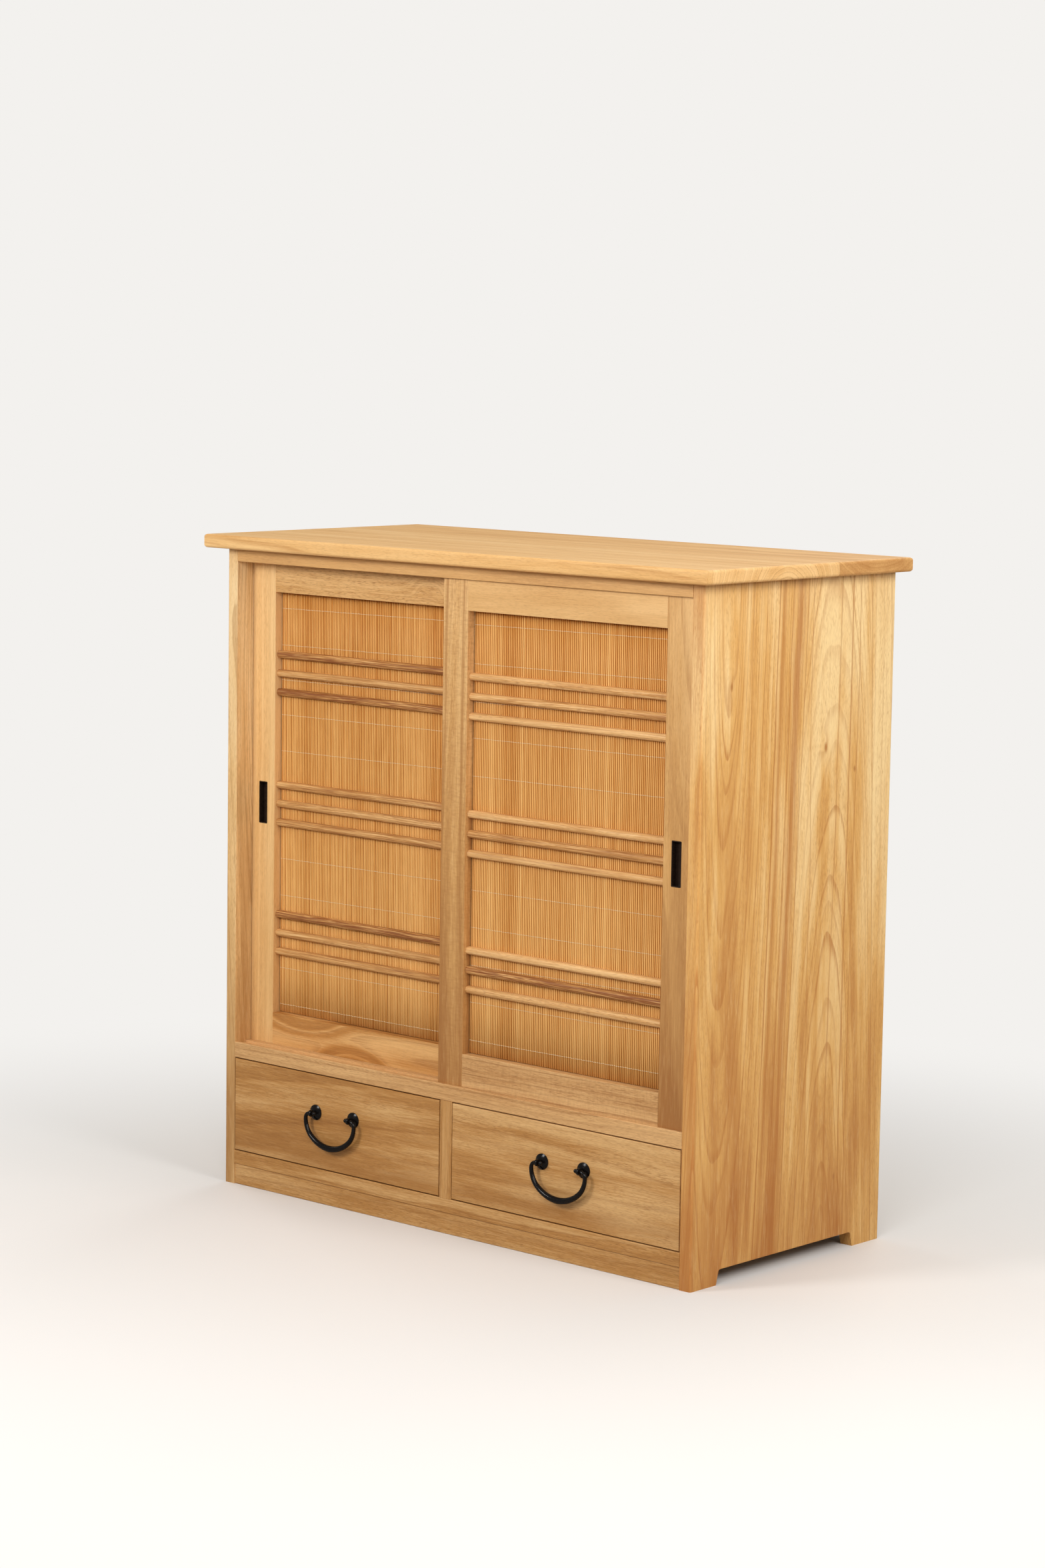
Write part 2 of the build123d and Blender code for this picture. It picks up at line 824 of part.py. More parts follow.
def bail(name, x_middle):
    """A hanging loop: a wide bow, two arms, round shoulders, and pins with ball ends."""
    bow = radians(bail_bow_angle)
    rise = bail_drop - bail_shoulder_radius
    # The bow and the arm turn a quarter circle between them, and together span half the
    # width and the whole rise, which fixes both radii
    share = sin(bow) * cos(bow) - (1 - sin(bow)) * (1 - cos(bow))
    bow_radius = (bail_half_width * cos(bow) - rise * (1 - sin(bow))) / share
    arm_radius = (rise * sin(bow) - bail_half_width * (1 - cos(bow))) / share
    hang = Plane(origin=(x_middle, pull_axis_y, pull_axis_z), x_dir=(1, 0, 0), z_dir=(0, -1, 0))
    pin_start = bail_half_width - bail_shoulder_radius
    ball_radius = bail_ball_diameter / 2
    ball_reach = post_spacing / 2 - eye_width / 2 - bail_ball_gap - ball_radius
    with BuildPart() as loop:
        with BuildLine(hang):
            bow_arc = JernArc((0, -bail_drop), (1, 0), bow_radius, bail_bow_angle)
            arm_arc = JernArc(bow_arc @ 1, bow_arc % 1, arm_radius, 90 - bail_bow_angle)
            shoulder_arc = JernArc(arm_arc @ 1, arm_arc % 1, bail_shoulder_radius, 90)
        tapers = (
            (bow_arc, bail_middle_diameter, bail_arm_diameter),
            (arm_arc, bail_arm_diameter, bail_neck_diameter),
            (shoulder_arc, bail_neck_diameter, bail_pin_diameter),
        )
        for arc, start_diameter, end_diameter in tapers:
            with BuildSketch(Plane(origin=arc @ 0, z_dir=arc % 0)):
                Circle(start_diameter / 2)
            with BuildSketch(Plane(origin=arc @ 1, z_dir=arc % 1)):
                Circle(end_diameter / 2)
            sweep(path=arc, multisection=True)
        pin_middle = x_middle + (pin_start + ball_reach) / 2
        with Locations((pin_middle, pull_axis_y, pull_axis_z)):
            Cylinder(
                radius=bail_pin_diameter / 2,
                height=pin_start - ball_reach,
                rotation=(0, 90, 0),
            )
        with Locations((x_middle + ball_reach, pull_axis_y, pull_axis_z)):
            Sphere(radius=ball_radius)
        mirror(about=Plane.YZ.offset(x_middle))
    save(loop, name)


for side, direction in sides.items():
    drawer_middle = drawer_box(side, direction)
    eye_posts(f"{side}_drawer_eye_posts", drawer_middle)
    rosettes(f"{side}_drawer_rosettes", drawer_middle)
    bail(f"{side}_drawer_bail", drawer_middle)
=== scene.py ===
"""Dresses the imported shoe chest: elm boards, reed mats sewn with cotton, and black iron pulls.

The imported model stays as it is. Its boards and ironwork get their finishes here, and the two
reed mats are built splint by splint. Lengths are in metres, unless a name says otherwise.
"""
import logging
import math
import random
from dataclasses import dataclass, field
from enum import Enum

import bmesh
import bpy
from mathutils import Matrix, Vector


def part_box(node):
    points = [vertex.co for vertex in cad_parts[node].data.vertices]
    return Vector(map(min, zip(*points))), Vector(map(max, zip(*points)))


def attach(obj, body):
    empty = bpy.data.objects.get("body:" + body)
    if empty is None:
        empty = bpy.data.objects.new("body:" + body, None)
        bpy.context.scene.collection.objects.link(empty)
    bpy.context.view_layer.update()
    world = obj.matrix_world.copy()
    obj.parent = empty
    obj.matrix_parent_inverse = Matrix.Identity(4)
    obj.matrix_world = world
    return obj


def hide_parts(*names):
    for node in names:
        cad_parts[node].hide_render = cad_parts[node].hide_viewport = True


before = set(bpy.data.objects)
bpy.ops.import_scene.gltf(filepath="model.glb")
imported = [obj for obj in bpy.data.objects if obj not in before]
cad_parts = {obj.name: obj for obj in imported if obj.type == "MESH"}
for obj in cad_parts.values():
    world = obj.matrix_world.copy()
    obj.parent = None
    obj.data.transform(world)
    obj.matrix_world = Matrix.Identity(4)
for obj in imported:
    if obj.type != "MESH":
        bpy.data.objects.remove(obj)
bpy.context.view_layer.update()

Socket = bpy.types.NodeSocket
Material = bpy.types.Material
Place = tuple[float, float, float]
Range = tuple[float, float]

LOG = logging.getLogger("shoe_chest")
MM = 0.001
# The mesh attribute that holds each splint's own shade, together with its painted highlight and
# painted shade
SPLINT_TONE_AND_LIGHT = "splint_tone_and_painted_light"

# The rods sit in three groups of three, at the same heights in both doors
ROD_MIDDLE_MM = 533.2
ROD_PITCH_MM = 25.8
ROD_GROUP_MM = 179.0

# The Mix node names its sockets alike for every kind of value, so they go by number
VECTOR_A, VECTOR_B = 4, 5
COLOUR_A, COLOUR_B = 6, 7
OF_VECTORS = {"output": 1, "data_type": "VECTOR"}
OF_COLOURS = {"output": 2, "data_type": "RGBA"}
SOFTLY = {"interpolation_type": "SMOOTHSTEP"}
SOFTER = {"interpolation_type": "SMOOTHERSTEP"}

# At a scale of 1 the Wave node repeats after this length
WAVE_REPEAT = math.tau / 20


def srgb(code: str) -> tuple[float, float, float, float]:
    """Turns an sRGB hex colour into the linear colour that a shader takes.

    Args:
        code: six hex digits after a hash.

    Returns:
        The linear red, green, blue and an alpha of 1.
    """
    channels = (int(code[start:start + 2], 16) / 255 for start in (1, 3, 5))
    linear = [c / 12.92 if c <= 0.04045 else ((c + 0.055) / 1.055) ** 2.4 for c in channels]
    return (*linear, 1.0)


def per_metre(size_mm: float) -> float:
    """Gives how often a pattern of a size in millimetres repeats in a metre."""
    return 1 / (size_mm * MM)


class Graph:
    """A node tree, which nodes are added to one at a time."""

    def __init__(self, tree: bpy.types.NodeTree) -> None:
        """Takes the tree that the nodes go into."""
        self.tree = tree

    def add(
        self, kind: str, inputs: dict | tuple = (), output: int | str = 0, **settings: str | bool
    ) -> Socket:
        """Adds a node with its settings and links.

        Args:
            kind: the node's type, without the ShaderNode that all of them start with.
            inputs: a value or another node's output for each input, by name or in order.
            output: the output that is wanted, by name or index.
            settings: the node's own settings.

        Returns:
            The output socket.
        """
        node = self.tree.nodes.new("ShaderNode" + kind)
        for key, value in settings.items():
            setattr(node, key, value)
        self.fill(node, inputs)
        return node.outputs[output]

    def fill(self, node: bpy.types.Node, inputs: dict | tuple) -> None:
        """Sets or links a node's inputs.

        Args:
            node: the node.
            inputs: a value or another node's output for each input, by name or in order.
        """
        for key, value in inputs.items() if isinstance(inputs, dict) else enumerate(inputs):
            if isinstance(value, Socket):
                self.tree.links.new(value, node.inputs[key])
            else:
                node.inputs[key].default_value = value


class Surface(Graph):
    """The node tree of one material, round its Principled shader."""

    def __init__(self, name: str) -> None:
        """Starts a material that has no pattern yet.

        Args:
            name: the material's name.
        """
        self.material = bpy.data.materials.new(name)
        self.material.use_nodes = True
        super().__init__(self.material.node_tree)
        self.shader = self.tree.nodes["Principled BSDF"]
        self.here = self.add("TexCoord", output="Object")

    def finish(self, **inputs: Socket | Place | float) -> Material:
        """Sets or links the shader's inputs.

        Args:
            inputs: values by the input's name, with underscores for spaces.

        Returns:
            The finished material.
        """
        self.fill(self.shader, {key.replace("_", " "): value for key, value in inputs.items()})
        return self.material


class Grain(Enum):
    """How a board lies: the object's axes across its grain, through it and along it."""

    UPRIGHT_FRONT = "XYZ"
    LEVEL_FRONT = "ZYX"
    UPRIGHT_SIDE = "YXZ"
    LEVEL_TOP = "YZX"
    DEEP_SIDE = "ZXY"


@dataclass(frozen=True)
class Tone:
    """The colours of one kind of elm under clear lacquer."""

    pale: str
    deep: str
    line: str
    pore: str


@dataclass(frozen=True)
class Knot:
    """A small knot that the rings run round, by its place across and along the board."""

    across_mm: float
    along_mm: float
    reach_mm: float
    lift_mm: float
    core_mm: float = 0.0


@dataclass(frozen=True)
class Stain:
    """A darker band of heartwood, by its middle across the board at the object's zero."""

    across_mm: float
    half_mm: float
    depth: float
    slope: float = 0.0


@dataclass(frozen=True)
class Stave:
    """How one board was sawn from its log.

    The pith is the middle of the log's rings, as a place across and through the board. It leans
    by a share of the length, which is what draws arches on a flat-sawn face. End grain drinks more
    lacquer than the faces and turns deeper.
    """

    pith_mm: tuple[float, float]
    lean: tuple[float, float] = (0.0, 0.0)
    ring_mm: float = 4.0
    deepen: float = 0.0
    lines: float = 0.6
    end: float = 0.0


@dataclass(frozen=True)
class Seam:
    """A glued joint between two staves, where it crosses the floor line, and its slope."""

    across_mm: float
    slope: float = 0.0


@dataclass(frozen=True)
class Sticks:
    """Sticks one above the other in one piece, from the lowest, each with its own shade."""

    shades: tuple[float, ...]
    middle_mm: float = ROD_MIDDLE_MM
    pitch_mm: float = ROD_PITCH_MM


class Spots(Enum):
    """The form of a pattern's spots."""

    CLOUDED = "clouded"
    DASHED = "dashed"


@dataclass(frozen=True)
class Pattern:
    """Spots of a size across, through and along the grain, cut softly between two limits.

    The shift is a number of its own, so that no two patterns match.
    """

    size_mm: Place
    limits: Range
    shift: float
    detail: float = 1.0
    spots: Spots = Spots.CLOUDED


# The patterns of elm. Real pores and fibres are finer than a quarter of a millimetre, too fine to
# show, so these are drawn about 1 mm wide
FIBRE = Pattern((1.5, 1.5, 130.0), (0.32, 0.68), 2.0, 3.0)
HAIRS = Pattern((0.9, 0.9, 32.0), (0.32, 0.68), 7.0, 2.0)
CLOUDS = Pattern((30.0, 45.0, 300.0), (0.3, 0.7), 3.0, 2.0)
FLECKS = Pattern((2.4, 2.4, 26.0), (0.5, 0.75), 4.0, 2.0)
RIPPLES = Pattern((9.0, 9.0, 2.6), (0.35, 0.85), 6.0)
FINE_PORES = Pattern((0.8, 0.8, 9.0), (0.47, 0.72), 1.0)
PORE_DASHES = Pattern((1.5, 1.5, 9.0), (0.36, 0.10), 5.0, spots=Spots.DASHED)


@dataclass(frozen=True)
class Elm:
    """Planed elm, wiped with clear satin lacquer.

    Flat-sawn boards show arches of fine reddish late wood and bands of paler and deeper years.
    Under them lie soft clouds, long fibres and hairs. Over them lie short dark pores, 1 mm wide
    and 9 mm long here, coarser than life so that they show at a few steps. The fields from pores
    to ripple say how strongly each of these shows. The field after ripple is painted shade and
    light: it makes the board darker towards the floor and paler towards the lid, for how the light
    falls off downwards.
    """

    name: str
    tone: Tone
    grain: Grain
    staves: tuple[Stave, ...]
    seed: float
    seams: tuple[Seam, ...] = ()
    knots: tuple[Knot, ...] = ()
    stains: tuple[Stain, ...] = ()
    sticks: Sticks | None = None
    pores: float = 0.5
    streaks: float = 0.5
    clouds: float = 0.5
    bands: float = 0.4
    hairs: float = 0.35
    ripple: float = 0.0
    # Painted shade and light: how much darker a board is painted towards the floor and paler
    # towards the lid
    painted_falloff: float = 0.0
    roughness: float = 0.42
    specular: float = 0.32

    def material(self) -> Material:
        """Builds the board's material."""
        return ElmSurface(self).coloured()


class ElmSurface(Surface):
    """The node tree of one elm board, which keeps the patterns that its colour is mixed from."""

    WANDER_MM: Place = (70.0, 70.0, 380.0)
    SWAY_MM: Place = (14.0, 14.0, 0.0)
    STICK_SHIFT_MM: Place = (90.0, 90.0, 900.0)
    SEED_SHIFT = 7.31
    PATTERN_SHIFT = 19.7
    THROUGH_SHIFT = 0.37
    KNOT_SHAPE: Place = (1.0, 0.0, 0.5)
    TOP_AND_FLOOR_MM: Range = (900.0, 100.0)

    # How fast the years change along the count of rings, and how much each pattern weighs
    PACE_SCALE, PACE_RINGS = 0.23, 3.0
    BAND_SCALE = 0.37
    DASH_WEIGHT, FLECK_WEIGHT, FIBRE_WEIGHT = 0.6, 0.45, 0.5
    CROWDED, SCATTERED = 0.8, 0.5
    STICK_STREAKS, STICK_EVEN = 0.9, 0.1
    HAIR_MEAN = 0.5
    # How much of the painted falloff turns to painted light at a board's top
    PAINTED_TOP_LIGHT = 0.5
    FRAY, SOFT_EDGE = 0.6, 1.3

    def __init__(self, board: Elm) -> None:
        """Draws the board's patterns.

        Args:
            board: how the board was sawn, and how strongly each pattern shows.
        """
        super().__init__(board.name)
        self.board = board
        self.scaled = self._scaled()
        self.stick = self._stick_number() if board.sticks else None
        self.place = self._place()
        self.seams = [self._seam(seam) for seam in board.seams]
        self.turns, self.line_strength = self._turns()
        self.fibre = self._spots(FIBRE)
        self.hair = self._spots(HAIRS)
        self.late = self._late_wood()
        self.band = self._band()
        self.pores = self._pores()
        self.ground = self._ground()

    def coloured(self) -> Material:
        """Lays the colours over one another, and adds the relief and the gloss.

        Returns:
            The finished material.
        """
        board, tone = self.board, self.board.tone
        ends = {COLOUR_A: srgb(tone.pale), COLOUR_B: srgb(tone.deep)}
        colour = self.add("Mix", {"Factor": self.ground, **ends}, **OF_COLOURS)
        for mask, code in (*self._layers(), *self._marks()):
            coat = {"Factor": mask, COLOUR_A: colour, COLOUR_B: srgb(code)}
            colour = self.add("Mix", coat, **OF_COLOURS)
        height = self.add("Math", (self.pores, self.late), operation="ADD")
        relief = {"Strength": 0.3, "Distance": 0.03 * MM, "Height": height}
        gloss = {"To Min": board.roughness - 0.05, "To Max": board.roughness + 0.07}
        return self.finish(
            Base_Color=colour,
            Roughness=self.add("MapRange", {"Value": self.fibre, **gloss}),
            Normal=self.add("Bump", relief, invert=True),
            Specular_IOR_Level=board.specular,
        )

    def _scaled(self) -> Socket:
        """Turns the object's axes to the board's.

        Returns:
            The place across, through and along the grain, in millimetres.
        """
        parts = self.add("SeparateXYZ", (self.here,)).node.outputs
        ordered = {axis: parts[letter] for axis, letter in zip("XYZ", self.board.grain.value)}
        turned = self.add("CombineXYZ", ordered)
        return self.add("VectorMath", (turned, (1 / MM,) * 3), operation="MULTIPLY")

    def _stick_number(self) -> Socket:
        """Counts the sticks from the middle one.

        Returns:
            The number of the stick at the place.
        """
        sticks = self.board.sticks
        across = self.add("SeparateXYZ", (self.scaled,), output="X")
        shifted = self.add("Math", (across, sticks.middle_mm), operation="SUBTRACT")
        number = self.add("Math", (shifted, sticks.pitch_mm), operation="DIVIDE")
        return self.add("Math", (number,), operation="ROUND")

    def _place(self) -> Socket:
        """Gives each stick its own stretch of grain, and adds the tree's slow wander.

        Returns:
            The place in the log, in millimetres.
        """
        start = self.scaled
        if self.stick:
            counted = {"W": self.stick}
            own = self.add("TexWhiteNoise", counted, output="Color", noise_dimensions="1D")
            shift = (own, self.STICK_SHIFT_MM, start)
            start = self.add("VectorMath", shift, operation="MULTIPLY_ADD")
        slow = self._stretched(start, self.WANDER_MM, 0.0)
        wander = self.add("TexNoise", {"Vector": slow, "Scale": 1.0, "Detail": 2.0}, output="Color")
        centred = self.add("VectorMath", (wander, (0.5,) * 3), operation="SUBTRACT")
        sway = (centred, self.SWAY_MM, start)
        return self.add("VectorMath", sway, operation="MULTIPLY_ADD")

    def _stretched(self, place: Socket, size_mm: Place, shift: float) -> Socket:
        """Divides a place by a pattern's size each way and moves it to a stretch of its own.

        Args:
            place: the place in millimetres.
            size_mm: the pattern's size across, through and along the grain.
            shift: a number of its own, so that no two patterns match.

        Returns:
            The place in the pattern.
        """
        offset = self.board.seed * self.SEED_SHIFT + shift * self.PATTERN_SHIFT
        repeats = tuple(1.0 / size for size in size_mm)
        start = (offset, offset * self.THROUGH_SHIFT, -offset)
        return self.add("VectorMath", (place, repeats, start), operation="MULTIPLY_ADD")

    def _spots(self, pattern: Pattern) -> Socket:
        """Draws a pattern's spots.

        Args:
            pattern: their size, form and limits.

        Returns:
            Their mask, from 0 to 1.
        """
        inputs = {"Vector": self._stretched(self.place, pattern.size_mm, pattern.shift)}
        if pattern.spots is Spots.DASHED:
            spots = self.add("TexVoronoi", {**inputs, "Scale": 1.0}, output="Distance")
        else:
            spots = self.add("TexNoise", {**inputs, "Scale": 1.0, "Detail": pattern.detail})
        start, full = pattern.limits
        return self.add("MapRange", {"Value": spots, "From Min": start, "From Max": full}, **SOFTLY)

    def _past(self, place: Socket, line: Seam | Stain) -> Socket:
        """Gives how far a place lies beyond a line along the board.

        Args:
            place: the place in millimetres.
            line: what lies on the line.

        Returns:
            The distance in millimetres, below 0 on the near side.
        """
        parts = self.add("SeparateXYZ", (place,)).node.outputs
        across = (parts["Z"], line.slope, line.across_mm)
        middle = self.add("Math", across, operation="MULTIPLY_ADD")
        return self.add("Math", (parts["X"], middle), operation="SUBTRACT")

    def _seam(self, seam: Seam) -> tuple[Socket, Socket]:
        """Finds a glued seam.

        Args:
            seam: where it lies.

        Returns:
            A mask that is 1 beyond it, and the distance to it in millimetres.
        """
        past = self._past(self.scaled, seam)
        beyond = self.add("Math", (past, 0.0), operation="GREATER_THAN")
        return beyond, self.add("Math", (past,), operation="ABSOLUTE")

    def _by_stave(self, values: list[Place]) -> Socket | Place:
        """Picks each stave's own vector by the seams' masks.

        Args:
            values: the vectors, one for each stave.

        Returns:
            The vector of the stave at the place.
        """
        chosen = values[0]
        for (beyond, _), value in zip(self.seams, values[1:]):
            choice = {"Factor": beyond, VECTOR_A: chosen, VECTOR_B: value}
            chosen = self.add("Mix", choice, **OF_VECTORS)
        return chosen

    def _near_knot(self, place: Socket, knot: Knot, reach_mm: float) -> Socket:
        """Finds a knot, which is twice as long as it is wide.

        Args:
            place: the place in millimetres.
            knot: the knot.
            reach_mm: how far it reaches.

        Returns:
            A mask that is 1 at the knot and falls to 0 at the reach.
        """
        middle = (knot.across_mm, 0.0, knot.along_mm)
        away = self.add("VectorMath", (place, middle), operation="SUBTRACT")
        flat = self.add("VectorMath", (away, self.KNOT_SHAPE), operation="MULTIPLY")
        distance = self.add("VectorMath", (flat,), output="Value", operation="LENGTH")
        fall = {"Value": distance, "From Min": reach_mm, "From Max": 0.0}
        return self.add("MapRange", fall, **SOFTER)

    def _turns(self) -> tuple[Socket, Socket]:
        """Counts the rings out from the pith, round the knots, some years wider than others.

        Returns:
            The count, and how strongly the stave's lines show.
        """
        staves = self.board.staves
        piths = self._by_stave([(*stave.pith_mm, 0.0) for stave in staves])
        leans = self._by_stave([(*stave.lean, 0.0) for stave in staves])
        rates = self._by_stave([(1.0 / stave.ring_mm, stave.lines, 0.0) for stave in staves])
        along = self.add("SeparateXYZ", (self.place,), output="Z")
        centre = self.add("VectorMath", (along, leans, piths), operation="MULTIPLY_ADD")
        away = self.add("VectorMath", (self.place, centre), operation="SUBTRACT")
        flat = self.add("VectorMath", (away, (1.0, 1.0, 0.0)), operation="MULTIPLY")
        radius = self.add("VectorMath", (flat,), output="Value", operation="LENGTH")
        for knot in self.board.knots:
            near = self._near_knot(self.place, knot, knot.reach_mm)
            lifted = (near, knot.lift_mm, radius)
            radius = self.add("Math", lifted, operation="MULTIPLY_ADD")
        split = self.add("SeparateXYZ", (rates,)).node.outputs
        turns = self.add("Math", (radius, split["X"]), operation="MULTIPLY")
        years = {"W": turns, "Scale": self.PACE_SCALE, "Detail": 1.0}
        pace = self.add("TexNoise", years, noise_dimensions="1D")
        turns = self.add("Math", (pace, self.PACE_RINGS, turns), operation="MULTIPLY_ADD")
        return turns, split["Y"]

    def _late_wood(self) -> Socket:
        """Draws the late wood at the end of each ring, stronger in some years.

        Returns:
            Its mask.
        """
        share = self.add("Math", (self.turns,), operation="FRACT")
        year = self.add("Math", (self.turns, 1.0), operation="FLOOR")
        strength = self.add("TexWhiteNoise", {"W": year}, noise_dimensions="1D")
        rise = {"Value": share, "From Min": 0.55, "From Max": 0.93}
        late = self.add("MapRange", rise, **SOFTER)
        factors = (
            self.add("MapRange", {"Value": share, "From Min": 1.0, "From Max": 0.95}, **SOFTLY),
            self.add("MapRange", {"Value": strength, "To Min": 0.1, "To Max": 1.0}),
            self.add("MapRange", {"Value": self.fibre, "To Min": 0.45, "To Max": 1.0}),
            self.line_strength,
        )
        for factor in factors:
            late = self.add("Math", (late, factor), operation="MULTIPLY")
        return late

    def _band(self) -> Socket:
        """Draws bands of a few paler or deeper years.

        Returns:
            Their mask, from 0 to 1.
        """
        rings = {"W": self.turns, "Scale": self.BAND_SCALE, "Detail": 2.0}
        band = self.add("TexNoise", rings, noise_dimensions="1D")
        return self.add("MapRange", {"Value": band, "From Min": 0.36, "From Max": 0.66}, **SOFTLY)

    def _pores(self) -> Socket:
        """Scatters pores, more of them in the bands of deeper years.

        Returns:
            Their mask.
        """
        dashes = self._spots(PORE_DASHES)
        fine = self._spots(FINE_PORES)
        pores = self.add("Math", (dashes, self.DASH_WEIGHT, fine), operation="MULTIPLY_ADD")
        crowd = (self.band, self.CROWDED, self.SCATTERED)
        crowd = self.add("Math", crowd, operation="MULTIPLY_ADD")
        return self.add("Math", (pores, crowd), operation="MULTIPLY")

    def _ground(self) -> Socket:
        """Adds up how deep the ground colour is.

        Returns:
            The depth, from 0 for pale to 1 for deep and above.
        """
        board = self.board
        even = self.HAIR_MEAN * board.hairs
        split = self._by_stave([(stave.deepen - even, stave.end, 0.0) for stave in board.staves])
        split = self.add("SeparateXYZ", (split,)).node.outputs
        facing = self.add("TexCoord", output="Normal")
        facing = self.add("SeparateXYZ", (facing,), output=board.grain.value[2])
        facing = self.add("Math", (facing,), operation="ABSOLUTE")
        facing = self.add("MapRange", {"Value": facing, "From Min": 0.3, "From Max": 0.9})
        depth = split["X"]
        for pattern, strength in (
            (facing, split["Y"]),
            (self._spots(CLOUDS), board.clouds),
            (self.band, board.bands),
            (self.fibre, board.streaks * self.FIBRE_WEIGHT),
            (self.hair, board.hairs),
        ):
            step = (pattern, strength, depth)
            depth = self.add("Math", step, operation="MULTIPLY_ADD")
        if self.stick:
            streak = self.add("Math", (self.fibre, self.hair), operation="ADD")
            streak = (streak, self.STICK_STREAKS, self.STICK_EVEN)
            streak = self.add("Math", streak, operation="MULTIPLY_ADD")
            own = (self._stick_shade(), streak, depth)
            depth = self.add("Math", own, operation="MULTIPLY_ADD")
        # Painted shade towards the floor and painted light towards the lid, for how the light falls
        # off
        if board.painted_falloff:
            depth = self.add("Math", (depth, self._painted_falloff()), operation="ADD")
        return depth

    def _stick_shade(self) -> Socket | float:
        """Gives each stick its own shade.

        Returns:
            The shade of the stick at the place.
        """
        shades = self.board.sticks.shades
        shade = 0.0
        for number, value in enumerate(shades, start=-(len(shades) // 2)):
            here = self.add("Math", (self.stick, number, 0.5), operation="COMPARE")
            shade = self.add("Math", (here, value, shade), operation="MULTIPLY_ADD")
        return shade

    def _painted_falloff(self) -> Socket:
        """Paints shade and light for how the light falls off downwards: darker towards the floor
        and paler towards the lid.

        Returns:
            What the depth gains, from under the lid down to the floor.
        """
        top, floor = self.TOP_AND_FLOOR_MM
        along = self.add("SeparateXYZ", (self.scaled,), output="Z")
        gain = {"To Min": -self.PAINTED_TOP_LIGHT * self.board.painted_falloff, "To Max": self.board.painted_falloff}
        return self.add("MapRange", {"Value": along, "From Min": top, "From Max": floor, **gain})

    def _layers(self) -> list[tuple[Socket, str]]:
        """Gives what lies over the ground colour: deep years, late wood, flecks and pores.

        Returns:
            A mask and a colour for each, from the lowest.
        """
        board, tone = self.board, self.board.tone
        past = self.add("MapRange", {"Value": self.ground, "From Min": 0.9, "From Max": 2.2})
        pore = self.add("Math", (self.pores, board.pores), operation="MULTIPLY")
        light = (self._spots(FLECKS), board.pores * self.FLECK_WEIGHT)
        light = self.add("Math", light, operation="MULTIPLY")
        layers = [(past, tone.line), (self.late, tone.line), (light, tone.pale), (pore, tone.pore)]
        if board.ripple:
            waves = (self._spots(RIPPLES), board.ripple)
            layers.append((self.add("Math", waves, operation="MULTIPLY"), tone.line))
        return layers

    def _marks(self) -> list[tuple[Socket, str]]:
        """Gives the heartwood bands, the hearts of knots and the glue lines.

        Returns:
            A mask and a colour for each, from the lowest.
        """
        board, tone = self.board, self.board.tone
        marks = []
        for stain in board.stains:
            past = self._past(self.place, stain)
            past = self.add("Math", (past,), operation="ABSOLUTE")
            frayed = (self.fibre, stain.half_mm * self.FRAY, past)
            frayed = self.add("Math", frayed, operation="MULTIPLY_ADD")
            reach = stain.half_mm * self.SOFT_EDGE
            inside = {"Value": frayed, "From Min": reach, "To Max": stain.depth}
            marks.append((self.add("MapRange", inside, **SOFTLY), tone.line))
        for knot in board.knots:
            if knot.core_mm:
                marks.append((self._near_knot(self.scaled, knot, knot.core_mm), tone.pore))
        for _, distance in self.seams:
            glue = {"Value": distance, "From Min": 0.9, "From Max": 0.2, "To Max": 0.75}
            marks.append((self.add("MapRange", glue), tone.pore))
        return marks


# Kinds of elm on the chest, from the palest sapwood to the browner boards of the drawers
SAP = Tone(pale="#F2C88C", deep="#E2B070", line="#B87F46", pore="#BC8A54")
HONEY = Tone(pale="#FAD89C", deep="#E4AF65", line="#B26C30", pore="#B87C42")
CREAM = Tone(pale="#FBDDAA", deep="#EABF82", line="#A9763F", pore="#AF7E49")
STRAW = Tone(pale="#F1C88D", deep="#E0B071", line="#C08F58", pore="#BC8A54")
STILE = Tone(pale="#E6BA7E", deep="#CE9C5E", line="#A26C38", pore="#A67440")
DUSK = Tone(pale="#DFB178", deep="#C08D56", line="#976637", pore="#99693C")
DRAWER = Tone(pale="#DEB278", deep="#BC874A", line="#8E5A28", pore="#946434")
CURLY = Tone(pale="#E8B676", deep="#C48846", line="#99602C", pore="#9A6634")
ROD = Tone(pale="#ECBE82", deep="#CB9354", line="#8A5026", pore="#945E30")
RAW = Tone(pale="#EDCD98", deep="#DAB074", line="#BC9158", pore="#B38D5B")


